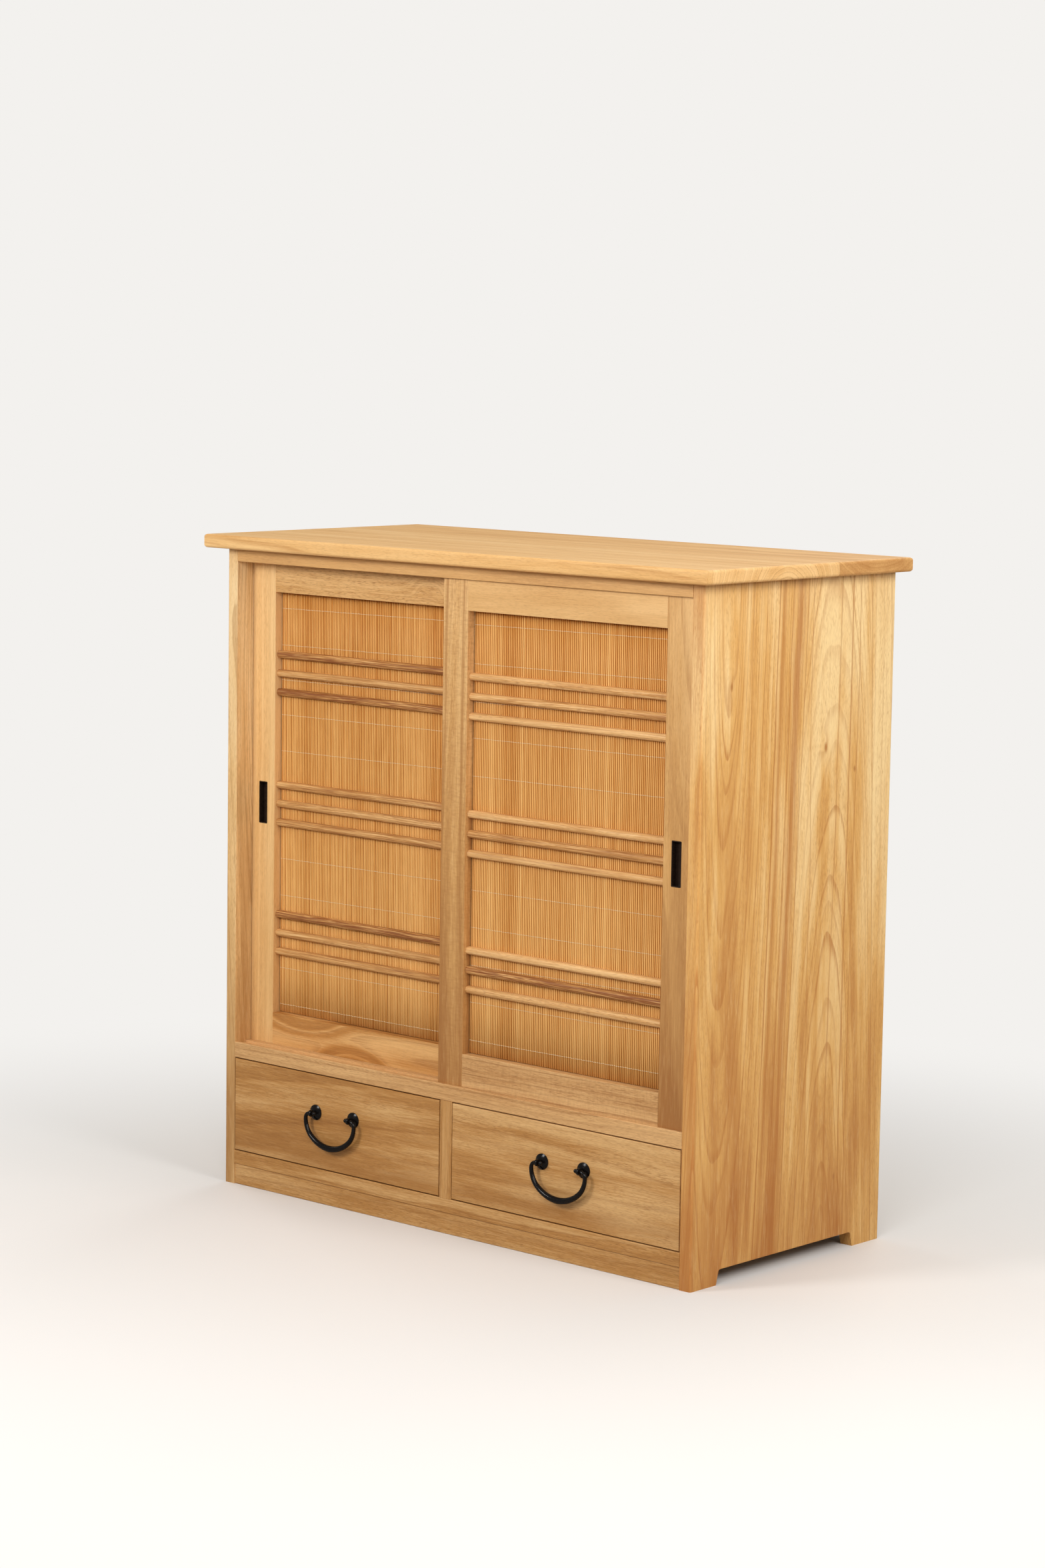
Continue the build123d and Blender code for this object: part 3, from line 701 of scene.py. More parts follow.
@dataclass(frozen=True)
class ReedSkin:
    """Split reed, left natural: a shiny skin that ripens from straw to orange brown.

    Each splint has its own shade, kept in its mesh with a painted highlight on its crest and
    painted shade on its flanks. Fine lengthwise threads of colour run over it, drawn half a
    millimetre wide, coarser than life so that they show. The mat is painted darker towards its top,
    painted shade that evens out the lamps' stronger light there.
    """

    name: str = "natural_split_reed"
    ripe: str = "#D08A3C"
    straw: str = "#F3C078"
    # Painted shade: the colour of the splints' shaded flanks and the gaps between them
    dark: str = "#AE6826"
    thread_mm: Place = (0.5263, 0.5263, 62.5)
    blotch_mm: Place = (11.11, 11.11, 33.33)

    def material(self) -> Material:
        """Builds the reeds' material.

        Returns:
            The material.
        """
        surface = Surface(self.name)
        shade = surface.add("Attribute", output="Fac", attribute_name=SPLINT_TONE_AND_LIGHT)
        noises = []
        for size_mm in (self.thread_mm, self.blotch_mm):
            repeats = tuple(per_metre(size) for size in size_mm)
            place = surface.add("VectorMath", (surface.here, repeats), operation="MULTIPLY")
            noises.append(surface.add("TexNoise", {"Vector": place, "Scale": 1.0, "Detail": 2.0}))
        thread, blotch = noises
        # The height term paints the mat darker towards its top: painted shade that evens out the
        # lamps' stronger light there
        height = surface.add("SeparateXYZ", (surface.here,), output="Z")
        tone = surface.add("Math", (shade, -0.13), operation="ADD")
        for part, weight in ((thread, 0.5), (blotch, 0.3), (height, -0.5)):
            step = (part, weight, tone)
            tone = surface.add("Math", step, operation="MULTIPLY_ADD")
        ripeness = {"Factor": tone, COLOUR_A: srgb(self.ripe), COLOUR_B: srgb(self.straw)}
        colour = surface.add("Mix", ripeness, **OF_COLOURS)
        # Where the tone runs low, mostly on the splints' painted flank shade, the colour turns
        # dark: painted shade between the splints
        low = {"Value": tone, "From Min": 0.25, "From Max": -0.05}
        low = surface.add("MapRange", low, **SOFTLY)
        darkness = {"Factor": low, COLOUR_A: colour, COLOUR_B: srgb(self.dark)}
        colour = surface.add("Mix", darkness, **OF_COLOURS)
        relief = {"Strength": 0.3, "Distance": 0.04 * MM, "Height": thread}
        return surface.finish(
            Base_Color=colour,
            Roughness=0.55,
            Normal=surface.add("Bump", relief),
            Specular_IOR_Level=0.18,
        )


@dataclass(frozen=True)
class CottonThread:
    """Unbleached cotton sewing thread: soft, matt and cream, with its twist as a fine ripple."""

    name: str = "unbleached_cotton_thread"
    cream: str = "#F2DDB4"
    shadow: str = "#D8B887"
    twist_mm: float = 0.698
    lay_degrees: float = 35.0

    def material(self) -> Material:
        """Builds the thread's material.

        Returns:
            The material.
        """
        surface = Surface(self.name)
        lay = (0.0, math.radians(self.lay_degrees), 0.0)
        turned = surface.add("Mapping", {"Vector": surface.here, "Rotation": lay})
        scale = per_metre(self.twist_mm) * WAVE_REPEAT
        ply = {"Vector": turned, "Scale": scale, "Distortion": 1.5}
        twist = surface.add("TexWave", ply, output="Fac")
        shades = {"Factor": twist, COLOUR_A: srgb(self.shadow), COLOUR_B: srgb(self.cream)}
        relief = {"Strength": 0.4, "Distance": 0.05 * MM, "Height": twist}
        return surface.finish(
            Base_Color=surface.add("Mix", shades, **OF_COLOURS),
            Roughness=0.85,
            Normal=surface.add("Bump", relief),
            Sheen_Weight=0.3,
        )


@dataclass(frozen=True)
class BlackIron:
    """Forged iron, blackened with oil: nearly black, with hammer marks that catch the light."""

    name: str = "oil_blackened_iron"
    black: str = "#0C0908"
    worn: str = "#1E1A17"
    dent_mm: float = 3.03
    grit_mm: float = 0.667

    def material(self) -> Material:
        """Builds the iron's material.

        Returns:
            The material.
        """
        surface = Surface(self.name)
        hammered = {"Vector": surface.here, "Scale": per_metre(self.dent_mm), "Detail": 1.0}
        dents = surface.add("TexNoise", hammered)
        scaly = {"Vector": surface.here, "Scale": per_metre(self.grit_mm), "Detail": 3.0}
        grit = surface.add("TexNoise", scaly)
        height = surface.add("Math", (grit, 0.25, dents), operation="MULTIPLY_ADD")
        relief = {"Strength": 0.55, "Distance": 0.25 * MM, "Height": height}
        wear = surface.add("MapRange", {"Value": grit, "From Min": 0.5, "From Max": 0.72})
        shades = {"Factor": wear, COLOUR_A: srgb(self.black), COLOUR_B: srgb(self.worn)}
        return surface.finish(
            Base_Color=surface.add("Mix", shades, **OF_COLOURS),
            Roughness=surface.add("MapRange", {"Value": dents, "To Min": 0.14, "To Max": 0.26}),
            Normal=surface.add("Bump", relief),
            Specular_IOR_Level=0.2,
        )


@dataclass(frozen=True)
class BakedEnamel:
    """Pressed steel in black-brown baked enamel: smooth, with a faint ripple and a soft gloss."""

    name: str = "black_brown_baked_enamel"
    body: str = "#17100D"
    edge: str = "#33241C"
    ripple_mm: float = 3.846

    def material(self) -> Material:
        """Builds the enamel's material.

        Returns:
            The material.
        """
        surface = Surface(self.name)
        flow = {"Vector": surface.here, "Scale": per_metre(self.ripple_mm), "Detail": 2.0}
        ripple = surface.add("TexNoise", flow)
        shades = {"Factor": ripple, COLOUR_A: srgb(self.body), COLOUR_B: srgb(self.edge)}
        relief = {"Strength": 0.15, "Distance": 0.1 * MM, "Height": ripple}
        return surface.finish(
            Base_Color=surface.add("Mix", shades, **OF_COLOURS),
            Roughness=0.26,
            Normal=surface.add("Bump", relief),
            Specular_IOR_Level=0.25,
        )


@dataclass(frozen=True)
class ZincPlate:
    """Zinc-plated screws: a cool grey metal with a cloudy crystal grain, coarser than life."""

    name: str = "bright_zinc_plate"
    grey: str = "#B9B7B2"
    dull: str = "#96938C"
    crystal_mm: float = 2.381

    def material(self) -> Material:
        """Builds the zinc's material.

        Returns:
            The material.
        """
        surface = Surface(self.name)
        grown = {"Vector": surface.here, "Scale": per_metre(self.crystal_mm), "Detail": 3.0}
        cloud = surface.add("TexNoise", grown)
        shades = {"Factor": cloud, COLOUR_A: srgb(self.dull), COLOUR_B: srgb(self.grey)}
        return surface.finish(
            Base_Color=surface.add("Mix", shades, **OF_COLOURS),
            Roughness=surface.add("MapRange", {"Value": cloud, "To Min": 0.28, "To Max": 0.45}),
            Metallic=1.0,
        )


def raw_elm(
    part: str, grain: Grain, stave: Stave, seed: float, tone: Tone = RAW, roughness: float = 0.6
) -> Material:
    """Makes elm that is planed and left raw, which looks paler and duller than under lacquer.

    Args:
        part: what is made of it.
        grain: how the board lies.
        stave: how it was sawn.
        seed: a number of its own.
        tone: its colours.
        roughness: how dull it is.

    Returns:
        The material.
    """
    return Elm(f"raw_elm_{part}", tone, grain, (stave,), seed, roughness=roughness).material()


def dress(node: str, material: Material) -> None:
    """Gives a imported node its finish.

    Args:
        node: the node's name.
        material: the finish.
    """
    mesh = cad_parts[node].data
    if not mesh.materials:
        mesh.materials.append(material)
    for index in range(len(mesh.materials)):
        mesh.materials[index] = material
    LOG.info("dressed %s in %s", node, material.name)


def add_piece(
    name: str, mesh: bpy.types.Mesh, material: Material, smooth: bool = True
) -> bpy.types.Object:
    """Makes a mesh an object of the scene.

    Args:
        name: the object's name.
        mesh: its mesh.
        material: its finish.
        smooth: whether its faces are shaded smoothly.

    Returns:
        The object.
    """
    mesh.name = name
    mesh.materials.clear()
    mesh.materials.append(material)
    for polygon in mesh.polygons:
        polygon.use_smooth = smooth
    piece = bpy.data.objects.new(name, mesh)
    bpy.context.scene.collection.objects.link(piece)
    LOG.info("built %s in %s", name, material.name)
    return piece


@dataclass
class ReedMat:
    """One door's mat: split reeds side by side, sewn together with rows of cotton thread.

    A splint's shade goes from 0 for ripe to 1 for straw. It drifts a little from splint to splint.
    Over it lies painted light, by a number of each door's own: a painted highlight along the
    splint's crest and painted shade falling off towards its flanks and the gaps.
    """

    door: str
    seed: int
    rows_mm: tuple[float, ...]
    # How strongly a door's splints get a painted highlight on the crest and painted shade on the
    # flanks
    painted_light_and_shade: float
    pitch_mm: float = 3.11
    widths: Range = (0.93, 1.07)
    gap_mm: Range = (0.12, 0.28)
    sink_mm: Range = (0.0, 0.25)
    bow_mm: Range = (0.0, 0.16)
    bow_turn: float = 21.0
    rounding: float = 0.32
    drift: float = 0.04
    drift_limits: Range = (0.4, 0.54)
    own_shade: float = 0.1
    shade_limits: Range = (0.2, 1.1)
    lit_share: float = 0.33
    thread_mm: float = 0.8
    row_rise_mm: float = 3.3
    waver_mm: float = 0.12
    rod_half_mm: float = 5.0
    rod_clearance_mm: float = 0.3
    dip_mm: float = 1.9
    proud_mm: float = 0.05
    stitch: tuple[tuple[float, float], ...] = ((0.0, -0.2), (0.3, -0.05), (0.7, 0.15))

    def __post_init__(self) -> None:
        """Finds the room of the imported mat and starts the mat's own random draws."""
        self.low, self.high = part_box(f"{self.door}_reed_mat")
        self.draw = random.Random(self.seed)

    def build(self, reed: Material, cotton: Material) -> None:
        """Builds the splints and the thread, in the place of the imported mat.

        Args:
            reed: the splints' finish.
            cotton: the thread's finish.
        """
        edges = self._edges()
        splints = self._splints(edges, reed)
        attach(splints, self.door)
        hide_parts(f"{self.door}_reed_mat")
        thread = self._thread(edges, cotton)
        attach(thread, self.door)

    def _edges(self) -> list[float]:
        """Places the lines between the splints, none of which is quite as wide as the next.

        Returns:
            The lines from left to right, with the mat's own edges at both ends.
        """
        count = round((self.high.x - self.low.x) / (self.pitch_mm * MM))
        widths = [self.draw.uniform(*self.widths) for _ in range(count)]
        scale = (self.high.x - self.low.x) / sum(widths)
        edges = [self.low.x]
        for width in widths:
            edges.append(edges[-1] + width * scale)
        return edges

    def _splints(self, edges: list[float], reed: Material) -> bpy.types.Object:
        """Makes the splints, flat behind and round in front.

        Args:
            edges: the lines between them.
            reed: their finish.

        Returns:
            The object that holds them all.
        """
        low, high, draw = self.low, self.high, self.draw
        mesh = bmesh.new()
        mesh.verts.layers.float.new(SPLINT_TONE_AND_LIGHT)
        single = bpy.data.meshes.new("splint")
        drift = 0.5
        for left, right in zip(edges, edges[1:]):
            drift += draw.uniform(-self.drift, self.drift)
            drift = min(max(drift, self.drift_limits[0]), self.drift_limits[1])
            shade = drift + draw.gauss(0.0, self.own_shade)
            shade = min(max(shade, self.shade_limits[0]), self.shade_limits[1])
            self._splint((right - left, high.y - low.y, high.z - low.z), shade, single)
            middle = ((left + right) / 2, high.y, (low.z + high.z) / 2)
            single.transform(Matrix.Translation(middle))
            mesh.from_mesh(single)
        bpy.data.meshes.remove(single)
        name = f"{self.door}_reed_splints"
        data = bpy.data.meshes.new(name)
        mesh.to_mesh(data)
        mesh.free()
        return add_piece(name, data, reed)

    def _splint(self, room: Place, tone: float, into: bpy.types.Mesh) -> None:
        """Makes one splint from a box with two rounded front edges, a little crooked.

        Args:
            room: the width, depth and length that it has.
            tone: its shade, from 0 for ripe to 1 for straw.
            into: the mesh that it is written to, with its back on the plane y = 0.
        """
        mesh = bmesh.new()
        shade = mesh.verts.layers.float.new(SPLINT_TONE_AND_LIGHT)
        width = room[0] - self.draw.uniform(*self.gap_mm) * MM
        depth = room[1] - self.draw.uniform(*self.sink_mm) * MM
        made = bmesh.ops.create_cube(mesh, size=1.0)["verts"]
        bmesh.ops.scale(mesh, vec=(width, depth, room[2]), verts=made)
        front = [
            edge for edge in mesh.edges
            if all(vert.co.y < 0.0 for vert in edge.verts)
            and abs(edge.verts[0].co.x - edge.verts[1].co.x) < width * 0.1
        ]
        bmesh.ops.bevel(
            mesh, geom=front, offset=width * self.rounding, offset_type="OFFSET", segments=3,
            profile=0.5, affect="EDGES", material=-1,
        )
        upright = [
            edge for edge in mesh.edges
            if abs(edge.verts[0].co.z - edge.verts[1].co.z) > width * 2
        ]
        bmesh.ops.subdivide_edges(mesh, edges=upright, cuts=7, use_grid_fill=True)
        phase = self.draw.uniform(0.0, math.tau)
        bow = self.draw.uniform(*self.bow_mm) * MM
        for vert in mesh.verts:
            # Painted highlight along the splint's crest and painted shade on its flanks, added to
            # its own shade
            aside = abs(vert.co.x) / width * 2
            vert[shade] = tone + self.painted_light_and_shade * (self.lit_share - aside ** 1.5)
            vert.co.x += bow * math.sin(phase + vert.co.z * self.bow_turn)
            vert.co.y -= depth / 2
        mesh.to_mesh(into)
        mesh.free()

    def _row(self, height_mm: float, edges: list[float], rods_mm: list[float]) -> list[Place]:
        """Leads one row of thread over each splint and down between it and the next.

        Args:
            height_mm: where the row starts at the left.
            edges: the lines between the splints.
            rods_mm: the heights of the rods, which press the thread into the mat.

        Returns:
            The row's points.
        """
        points = []
        half = self.thread_mm / 2
        near = self.rod_half_mm + half + self.rod_clearance_mm
        for index, (left, right) in enumerate(zip(edges, edges[1:])):
            share = index / (len(edges) - 1)
            waver = self.draw.uniform(-self.waver_mm, self.waver_mm)
            rise = height_mm + share * self.row_rise_mm + waver
            pressed = any(abs(rise - rod) < near for rod in rods_mm)
            depths = (self.dip_mm, *(half if pressed else self.proud_mm,) * 2)
            for (across, up), depth in zip(self.stitch, depths):
                place = left * (1 - across) + right * across
                points.append((place, self.low.y + depth * MM, (rise + up) * MM))
        return points

    def _thread(self, edges: list[float], cotton: Material) -> bpy.types.Object:
        """Makes the rows of thread.

        Args:
            edges: the lines between the splints.
            cotton: their finish.

        Returns:
            The object that holds them all.
        """
        name = f"{self.door}_mat_thread"
        curve = bpy.data.curves.new(name, "CURVE")
        curve.dimensions = "3D"
        curve.bevel_depth = self.thread_mm / 2 * MM
        curve.bevel_resolution = 1
        curve.use_fill_caps = True
        steps = (-1, 0, 1)
        groups = [ROD_MIDDLE_MM + step * ROD_GROUP_MM for step in steps]
        rods_mm = [group + step * ROD_PITCH_MM for group in groups for step in steps]
        for height_mm in self.rows_mm:
            points = self._row(height_mm, edges, rods_mm)
            spline = curve.splines.new("POLY")
            spline.points.add(len(points) - 1)
            for point, place in zip(spline.points, points):
                point.co = (*place, 1.0)
        maker = bpy.data.objects.new(name, curve)
        bpy.context.scene.collection.objects.link(maker)
        depsgraph = bpy.context.evaluated_depsgraph_get()
        data = bpy.data.meshes.new_from_object(maker.evaluated_get(depsgraph))
        bpy.data.objects.remove(maker)
        return add_piece(name, data, cotton)


@dataclass
class Carcass:
    """The fixed case: top, sides, rails, panels, shelves and the strips that the drawers run on.

    Each side is three tapered boards, with the same seams, heartwood bands and knots on both.
    """

    side_seams: tuple[Seam, ...] = (Seam(-10.8, 0.0383), Seam(186.6, -0.0365))
    side_stains: tuple[Stain, ...] = (
        Stain(-24.0, 15.0, 0.75, 0.036),
        Stain(-52.0, 8.0, 0.6, 0.03),
        Stain(-62.0, 1.6, 0.7, 0.03),
        Stain(-36.0, 1.4, 0.5, 0.034),
        Stain(-98.0, 1.3, 0.35, 0.01),
        Stain(42.0, 1.2, 0.4, -0.01),
        Stain(81.0, 1.6, 0.5, 0.012),
        Stain(112.0, 1.6, 0.6, 0.004),
        Stain(124.0, 1.2, 0.45, 0.008),
    )
    side_knots: tuple[Knot, ...] = (
        Knot(-130.0, 752.0, 14.0, 2.0, 4.5),
        Knot(64.0, 663.0, 16.0, 2.5, 5.5),
        Knot(126.0, 631.0, 12.0, 1.5, 3.5),
        Knot(104.0, 100.0, 16.0, 2.0, 4.0),
    )

    def dress(self) -> None:
        """Gives each board of the case its own cut of elm."""
        self._dress_top()
        self._dress_side("right", 2.0, 1.0, HONEY, Stain(-190.0, 9.0, 0.6))
        self._dress_side("left", 3.0, -1.0, CREAM, Stain(-190.0, 6.0, 0.35))
        self._dress_front()
        self._dress_inside()
        dress("top_fixing_screws", ZincPlate().material())

    def _dress_top(self) -> None:
        """Dresses the top: two wide boards glued along their length, rubbed a little duller."""
        staves = (
            Stave((-60.0, 850.0), (0.02, 0.012), 4.5, lines=0.8),
            Stave((150.0, 1010.0), (-0.015, 0.01), 5.0, 0.3, 1.0, 0.75),
        )
        top = Elm(
            "lacquered_elm_top_board", SAP, Grain.LEVEL_TOP, staves, 1.0, (Seam(54.6),),
            pores=0.25, hairs=0.25, roughness=0.52, specular=0.14,
        )
        dress("top_board", top.material())

    def _dress_side(self, side: str, seed: float, out: float, tone: Tone, edge: Stain) -> None:
        """Dresses one side, whose rearmost board is pale sapwood.

        Args:
            side: left or right.
            seed: a number of its own.
            out: 1 where outwards is along the x axis, and -1 where it is against it.
            tone: its colours.
            edge: the band along its front edge.
        """
        staves = (
            Stave((-144.0, out * 345.0), (0.01, out * 0.07), 5.0, 0.2, 0.8),
            Stave((78.0, out * 385.0), (0.0, out * -0.085), 4.5, -0.05, 0.75),
            Stave((220.0, out * 340.0), (0.0, 0.01), 5.0, -0.4, 0.4),
        )
        panel = Elm(
            f"lacquered_elm_{side}_side", tone, Grain.UPRIGHT_SIDE, staves, seed,
            self.side_seams, self.side_knots, (*self.side_stains, edge),
            pores=0.38, streaks=0.4, clouds=0.85, bands=0.25, hairs=0.22, painted_falloff=0.75,
        )
        dress(f"{side}_side_panel", panel.material())

    def _dress_front(self) -> None:
        """Dresses the rails, the divider and the skirt, narrow boards, each from another log."""
        level, upright = Grain.LEVEL_FRONT, Grain.UPRIGHT_FRONT
        boards = (
            # The header's grain is its own, but its deeper tone is partly painted shade, for the
            # shadow under the top's overhang
            ("header_rail", STRAW, level, Stave((840.0, 60.0), (0.0, 0.0), 3.0, 0.55), 4.0),
            ("sill_rail", DUSK, level, Stave((120.0, -60.0), (0.05, 0.02), 6.0, -0.15), 5.0),
            ("bottom_rail", DRAWER, level, Stave((90.0, -90.0), (0.03, 0.0), 6.0, 0.35), 6.0),
            ("skirt_board", DRAWER, level, Stave((-30.0, -40.0), (0.02, 0.0), 5.0, 0.1), 7.5),
            ("drawer_divider", DRAWER, upright, Stave((40.0, -150.0), (0.0, 0.02), 4.0, 0.55), 8.0),
        )
        for node, tone, grain, stave, seed in boards:
            board = Elm(f"lacquered_elm_{node}", tone, grain, (stave,), seed, pores=0.42, hairs=0.4)
            dress(node, board.material())

    def _dress_inside(self) -> None:
        """Dresses what the doors and drawers hide: the same wood, planed and left raw."""
        level = raw_elm("level_boards", Grain.LEVEL_TOP, Stave((30.0, -400.0), ring_mm=7.0), 9.0)
        deep = raw_elm("strips", Grain.DEEP_SIDE, Stave((300.0, -200.0), ring_mm=6.0), 11.0)
        back = Stave((60.0, 700.0), ring_mm=8.0)
        dress("back_panel", raw_elm("back_panel", Grain.UPRIGHT_FRONT, back, 10.0))
        for node in (
            "cabinet_floor", "bottom_panel", "lower_shelf", "upper_shelf", "rear_top_rail",
            "rear_bottom_rail", "skirt_glue_blocks", "drawer_stops", "shelf_pegs",
        ):
            dress(node, level)
        dress("drawer_partition", deep)
        for side in ("left", "right"):
            dress(f"{side}_drawer_runners", deep)
            dress(f"{side}_drawer_kickers", deep)


@dataclass
class SlidingDoor:
    """One framed door with its backing, mat, rods and flush pull."""

    side: str
    seed: int
    rows_mm: tuple[float, ...]
    painted_light_and_shade: float
    boards: dict[str, Elm] = field(default_factory=dict)

    def dress(self, reed: Material, cotton: Material, enamel: Material) -> None:
        """Gives the door's wood and pull their finishes and builds its mat.

        Args:
            reed: the splints' finish.
            cotton: the thread's finish.
            enamel: the flush pull's finish.
        """
        door = f"{self.side}_door"
        for part, board in self.boards.items():
            dress(f"{door}_{part}", board.material())
        stave, seed = Stave((0.0, 500.0)), self.seed + 5
        dress(f"{door}_backing", raw_elm(f"{door}_backing", Grain.UPRIGHT_FRONT, stave, seed, DUSK))
        dress(f"{door}_flush_pull", enamel)
        ReedMat(door, self.seed, self.rows_mm, self.painted_light_and_shade).build(reed, cotton)


@dataclass
class Drawer:
    """One drawer with its pair of rosettes, its eye posts and its bail pull."""

    side: str
    seed: float
    front: Stave
    front_stains: tuple[Stain, ...] = (Stain(62.0, 22.0, 0.35, 0.012), Stain(88.0, 5.0, 0.3, 0.02))

    def dress(self, iron: Material) -> None:
        """Gives the drawer's boards and ironwork their finishes.

        Args:
            iron: the ironwork's finish.
        """
        drawer = f"{self.side}_drawer"
        face = Elm(
            f"lacquered_elm_{drawer}_front", DRAWER, Grain.LEVEL_FRONT, (self.front,), self.seed,
            stains=self.front_stains, pores=0.42, streaks=0.55, clouds=0.85, hairs=0.35,
        )
        dress(f"{drawer}_front", face.material())
        for boards, grain, stave, step, parts in (
            ("sides", Grain.DEEP_SIDE, Stave((160.0, 500.0)), 1, ("left_side", "right_side")),
            ("back", Grain.LEVEL_FRONT, Stave((20.0, 500.0)), 2, ("back",)),
            ("bottom", Grain.LEVEL_TOP, Stave((0.0, -300.0), ring_mm=9.0), 3, ("bottom",)),
        ):
            material = raw_elm(f"{drawer}_{boards}", grain, stave, self.seed + step)
            for part in parts:
                dress(f"{drawer}_{part}", material)
        for part in ("rosettes", "eye_posts", "bail"):
            dress(f"{drawer}_{part}", iron)


@dataclass(frozen=True)
class Lamp:
    """A square lamp: where it stands, what it faces, its side and its power."""

    name: str
    place: Place
    target: Place
    side: float
    watts: float

    def build(self) -> None:
        """Adds the lamp to the scene."""
        light = bpy.data.lights.new(self.name, "AREA")
        light.size = self.side
        light.energy = self.watts
        holder = bpy.data.objects.new(self.name, light)
        holder.location = self.place
        aim = Vector(self.target) - Vector(self.place)
        holder.rotation_euler = aim.to_track_quat("-Z", "Y").to_euler()
        bpy.context.scene.collection.objects.link(holder)


@dataclass
class Studio:
    """A pale floor that fades into a pale surround, soft lamps, and the photograph's camera.

    The camera's yaw, pitch and roll are in degrees. The floor fades by the distance from a point
    in front of the chest.
    """

    lamps: tuple[Lamp, ...] = (
        Lamp("left_lamp", (-0.75, -2.3, 1.5), (0.0, -0.2, 0.6), 0.6, 27.0),
        Lamp("front_lamp", (1.2, -2.0, 1.7), (0.1, -0.2, 0.6), 1.1, 24.0),
        Lamp("side_lamp", (2.4, -0.3, 1.75), (0.4, 0.0, 0.6), 1.1, 38.0),
        Lamp("top_lamp", (0.0, 0.3, 2.5), (0.0, 0.3, 0.0), 1.5, 8.0),
        Lamp("back_lamp", (-0.6, 2.8, 2.4), (0.0, 0.2, 0.5), 1.8, 22.0),
        Lamp("far_side_lamp", (-2.6, 0.3, 1.5), (-0.4, 0.1, 0.5), 1.2, 15.0),
    )
    surround: str = "#F3F1EE"
    surround_light: float = 0.28
    floor: str = "#E4E0DB"
    floor_shade: str = "#A39C95"
    floor_half: float = 14.0
    fade_middle: Place = (0.25, -0.45, 0.0)
    fade: Range = (0.7, 1.9)
    eye: Place = (3.2384, -3.6683, 1.2007)
    yaw: float = 41.791
    pitch: float = 7.219
    roll: float = 0.885
    lens_mm: float = 84.891
    film_mm: float = 36.0

    def build(self) -> None:
        """Builds the floor, the light and the camera."""
        self._build_floor()
        self._build_surround()
        for lamp in self.lamps:
            lamp.build()
        self._build_camera()
        bpy.context.scene.view_settings.view_transform = "Standard"

    def _build_floor(self) -> None:
        """Builds the floor, darker to all but the camera, so that it throws less light back."""
        surface = Surface("pale_studio_floor")
        ends = (surface.here, self.fade_middle)
        near = surface.add("VectorMath", ends, output="Value", operation="DISTANCE")
        start, end = self.fade
        far = surface.add("MapRange", {"Value": near, "From Min": start, "From Max": end}, **SOFTLY)
        seen = surface.add("LightPath", output="Is Camera Ray")
        share = surface.add("Math", (far, seen), operation="MULTIPLY")
        glow = surface.add("Emission", {"Color": srgb(self.surround), "Strength": 1.0})
        shades = {"Factor": seen, COLOUR_A: srgb(self.floor_shade), COLOUR_B: srgb(self.floor)}
        surface.finish(Base_Color=surface.add("Mix", shades, **OF_COLOURS), Roughness=0.7)
        faded = surface.add("MixShader", (share, surface.shader.outputs[0], glow))
        surface.fill(surface.tree.nodes["Material Output"], {"Surface": faded})
        grid = bmesh.new()
        bmesh.ops.create_grid(grid, x_segments=2, y_segments=2, size=self.floor_half)
        data = bpy.data.meshes.new("studio_floor")
        grid.to_mesh(data)
        grid.free()
        floor = add_piece("studio_floor", data, surface.material, smooth=False)

    def _build_surround(self) -> None:
        """Builds the surround, which lights evenly and looks white where the camera sees it."""
        world = bpy.data.worlds.new("pale_surround")
        world.use_nodes = True
        bpy.context.scene.world = world
        graph = Graph(world.node_tree)
        light = graph.tree.nodes["Background"]
        graph.fill(light, {"Color": (1.0, 1.0, 1.0, 1.0), "Strength": self.surround_light})
        seen = graph.add("LightPath", output="Is Camera Ray")
        white = graph.add("Background", {"Color": srgb(self.surround)})
        mixed = graph.add("MixShader", (seen, light.outputs[0], white))
        graph.fill(graph.tree.nodes["World Output"], {"Surface": mixed})

    def _build_camera(self) -> None:
        """Adds the camera at the photograph's angle."""
        yaw, pitch, roll = (math.radians(angle) for angle in (self.yaw, self.pitch, self.roll))
        ahead = Vector((
            -math.sin(yaw) * math.cos(pitch),
            math.cos(yaw) * math.cos(pitch),
            -math.sin(pitch),
        ))
        level = Vector((math.cos(yaw), math.sin(yaw), 0.0))
        upward = level.cross(ahead)
        right = level * math.cos(roll) + upward * math.sin(roll)
        above = upward * math.cos(roll) - level * math.sin(roll)
        lens = bpy.data.cameras.new("camera")
        lens.sensor_fit = "AUTO"
        lens.sensor_width = self.film_mm
        lens.lens = self.lens_mm
        camera = bpy.data.objects.new("camera", lens)
        turn = Matrix((right, above, -ahead)).transposed().to_4x4()
        camera.matrix_world = Matrix.Translation(self.eye) @ turn
        bpy.context.scene.collection.objects.link(camera)
        bpy.context.scene.camera = camera


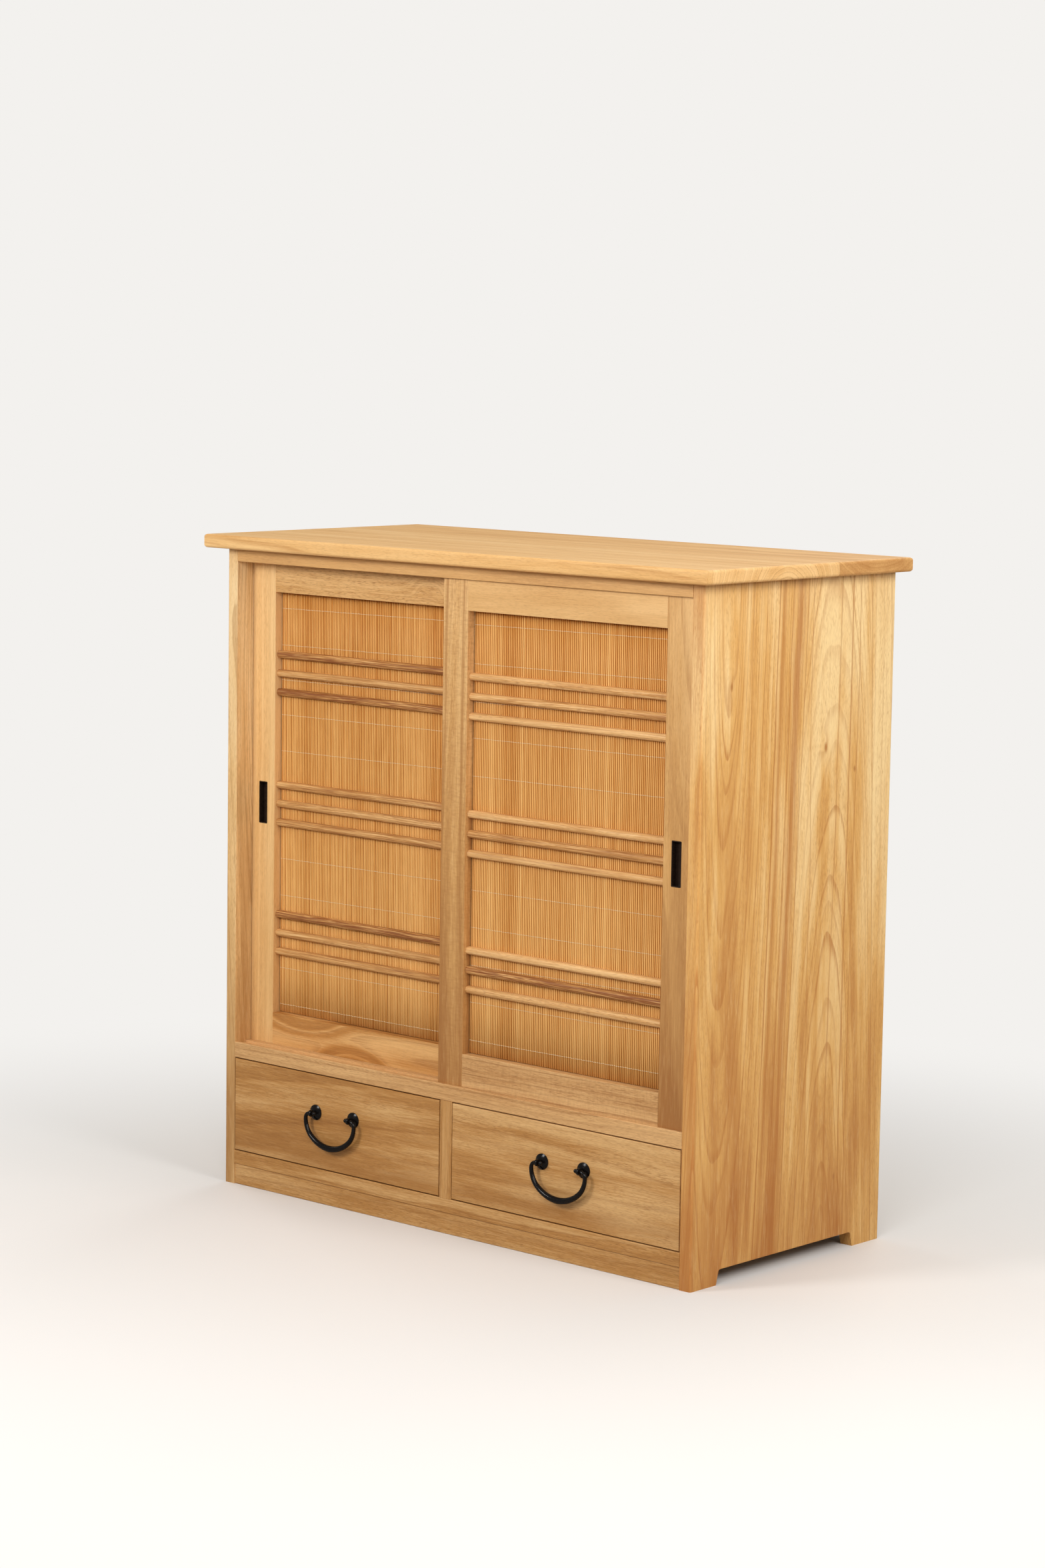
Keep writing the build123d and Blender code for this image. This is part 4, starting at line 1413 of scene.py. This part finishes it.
def left_door() -> SlidingDoor:
    """Describes the left door, in the rear track: pale stiles and a curly bottom rail.

    Returns:
        The door.
    """
    level, upright = Grain.LEVEL_FRONT, Grain.UPRIGHT_FRONT
    boards = {
        "outer_stile": Elm(
            "pale_elm_left_outer_stile", STRAW, upright,
            (Stave((-300.0, -160.0), (0.01, 0.02), 5.0, 0.2, 0.4),), 20.0, pores=0.35, painted_falloff=0.6,
        ),
        "inner_stile": Elm(
            "elm_left_inner_stile", STILE, upright,
            (Stave((60.0, -260.0), (0.01, 0.02), 4.0),), 21.0,
        ),
        "top_rail": Elm(
            "elm_left_top_rail", STILE, level,
            (Stave((900.0, -100.0), (0.0, 0.0), 3.0, 0.0, 0.5),), 22.0,
            knots=(Knot(852.0, -70.0, 30.0, 12.0),), pores=0.6, bands=0.3, hairs=0.6,
        ),
        "bottom_rail": Elm(
            "curly_elm_left_bottom_rail", CURLY, level,
            (Stave((215.0, -205.0), (0.03, 0.02), 7.0, 0.0, 0.7),), 23.0,
            knots=(Knot(252.0, -292.0, 55.0, 20.0), Knot(186.0, -200.0, 60.0, 20.0)),
            pores=0.3, bands=1.3, hairs=0.2,
        ),
        "rods": Elm(
            "streaky_elm_left_rods", ROD, level,
            (Stave((540.0, -120.0), (0.01, 0.0), 3.0, 0.0, 0.7),), 24.0,
            sticks=Sticks((0.3, 0.2, 1.2, 0.0, 0.0, 0.0, 0.0, 0.4, 0.2, 0.4,
                           0.0, 0.0, 0.0, 0.0, 1.1, 0.1, 1.0)),
            streaks=1.3, bands=0.2, hairs=0.35, pores=0.35,
        ),
    }
    rows_mm = (254.4, 305.0, 355.5, 406.0, 456.8, 506.4, 556.0, 605.6, 655.2, 703.0, 750.7, 800.7)
    return SlidingDoor("left", 20, rows_mm, 0.85, boards)


def right_door() -> SlidingDoor:
    """Describes the right door, in the front track: browner stiles, a streaky bottom rail.

    Returns:
        The door.
    """
    level, upright = Grain.LEVEL_FRONT, Grain.UPRIGHT_FRONT
    boards = {
        "outer_stile": Elm(
            "elm_right_outer_stile", STILE, upright,
            (Stave((390.0, -300.0), (0.02, 0.04), 6.0, 0.35, 0.4),), 31.0, pores=0.32, painted_falloff=1.3,
        ),
        "inner_stile": Elm(
            "rippled_elm_right_inner_stile", STILE, upright,
            (Stave((-40.0, -220.0), (0.01, 0.01), 4.0, 0.1, 0.5),), 32.0,
            stains=(Stain(-16.0, 4.0, 0.6), Stain(18.0, 4.0, 0.6, -0.004)),
            pores=0.45, ripple=0.3, hairs=0.5, painted_falloff=1.4,
        ),
        "top_rail": Elm(
            "elm_right_top_rail", STILE, level,
            (Stave((840.0, -420.0), (0.01, 0.02), 6.0, -0.35, 0.25),), 33.0, pores=0.2, hairs=0.2,
        ),
        "bottom_rail": Elm(
            "streaky_elm_right_bottom_rail", DUSK, level,
            (Stave((150.0, -186.0), (0.02, 0.0), 7.0, 0.0, 0.9),), 34.0, ripple=0.2, hairs=0.4,
        ),
        "rods": Elm(
            "streaky_elm_right_rods", ROD, level,
            (Stave((500.0, -100.0), (0.01, 0.0), 3.0, -0.1, 0.5),), 35.0,
            sticks=Sticks((0.1, 1.2, 0.0, 0.0, 0.0, 0.0, 0.0, 0.0, 0.4, 0.1,
                           0.0, 0.0, 0.0, 0.0, 0.0, 0.5, 0.2)),
            streaks=1.1, bands=0.2, hairs=0.3, pores=0.35,
        ),
    }
    rows_mm = (260.8, 311.3, 360.0, 410.0, 459.0, 509.0, 559.0, 608.4, 657.8, 705.0, 754.4, 805.1)
    return SlidingDoor("right", 30, rows_mm, 1.35, boards)


def main() -> None:
    """Dresses the chest, builds its mats and sets the studio."""
    logging.basicConfig(level=logging.INFO)
    reed = ReedSkin().material()
    cotton = CottonThread().material()
    iron = BlackIron().material()
    enamel = BakedEnamel().material()
    Carcass().dress()
    for door in (left_door(), right_door()):
        door.dress(reed, cotton, enamel)
    Drawer("left", 40.0, Stave((40.0, -330.0), (0.02, 0.05), 7.0, 0.2, 0.5)).dress(iron)
    Drawer("right", 50.0, Stave((60.0, -360.0), (0.01, -0.03), 8.0, -0.1, 0.4)).dress(iron)
    Studio().build()


if __name__ == "__main__":
    main()
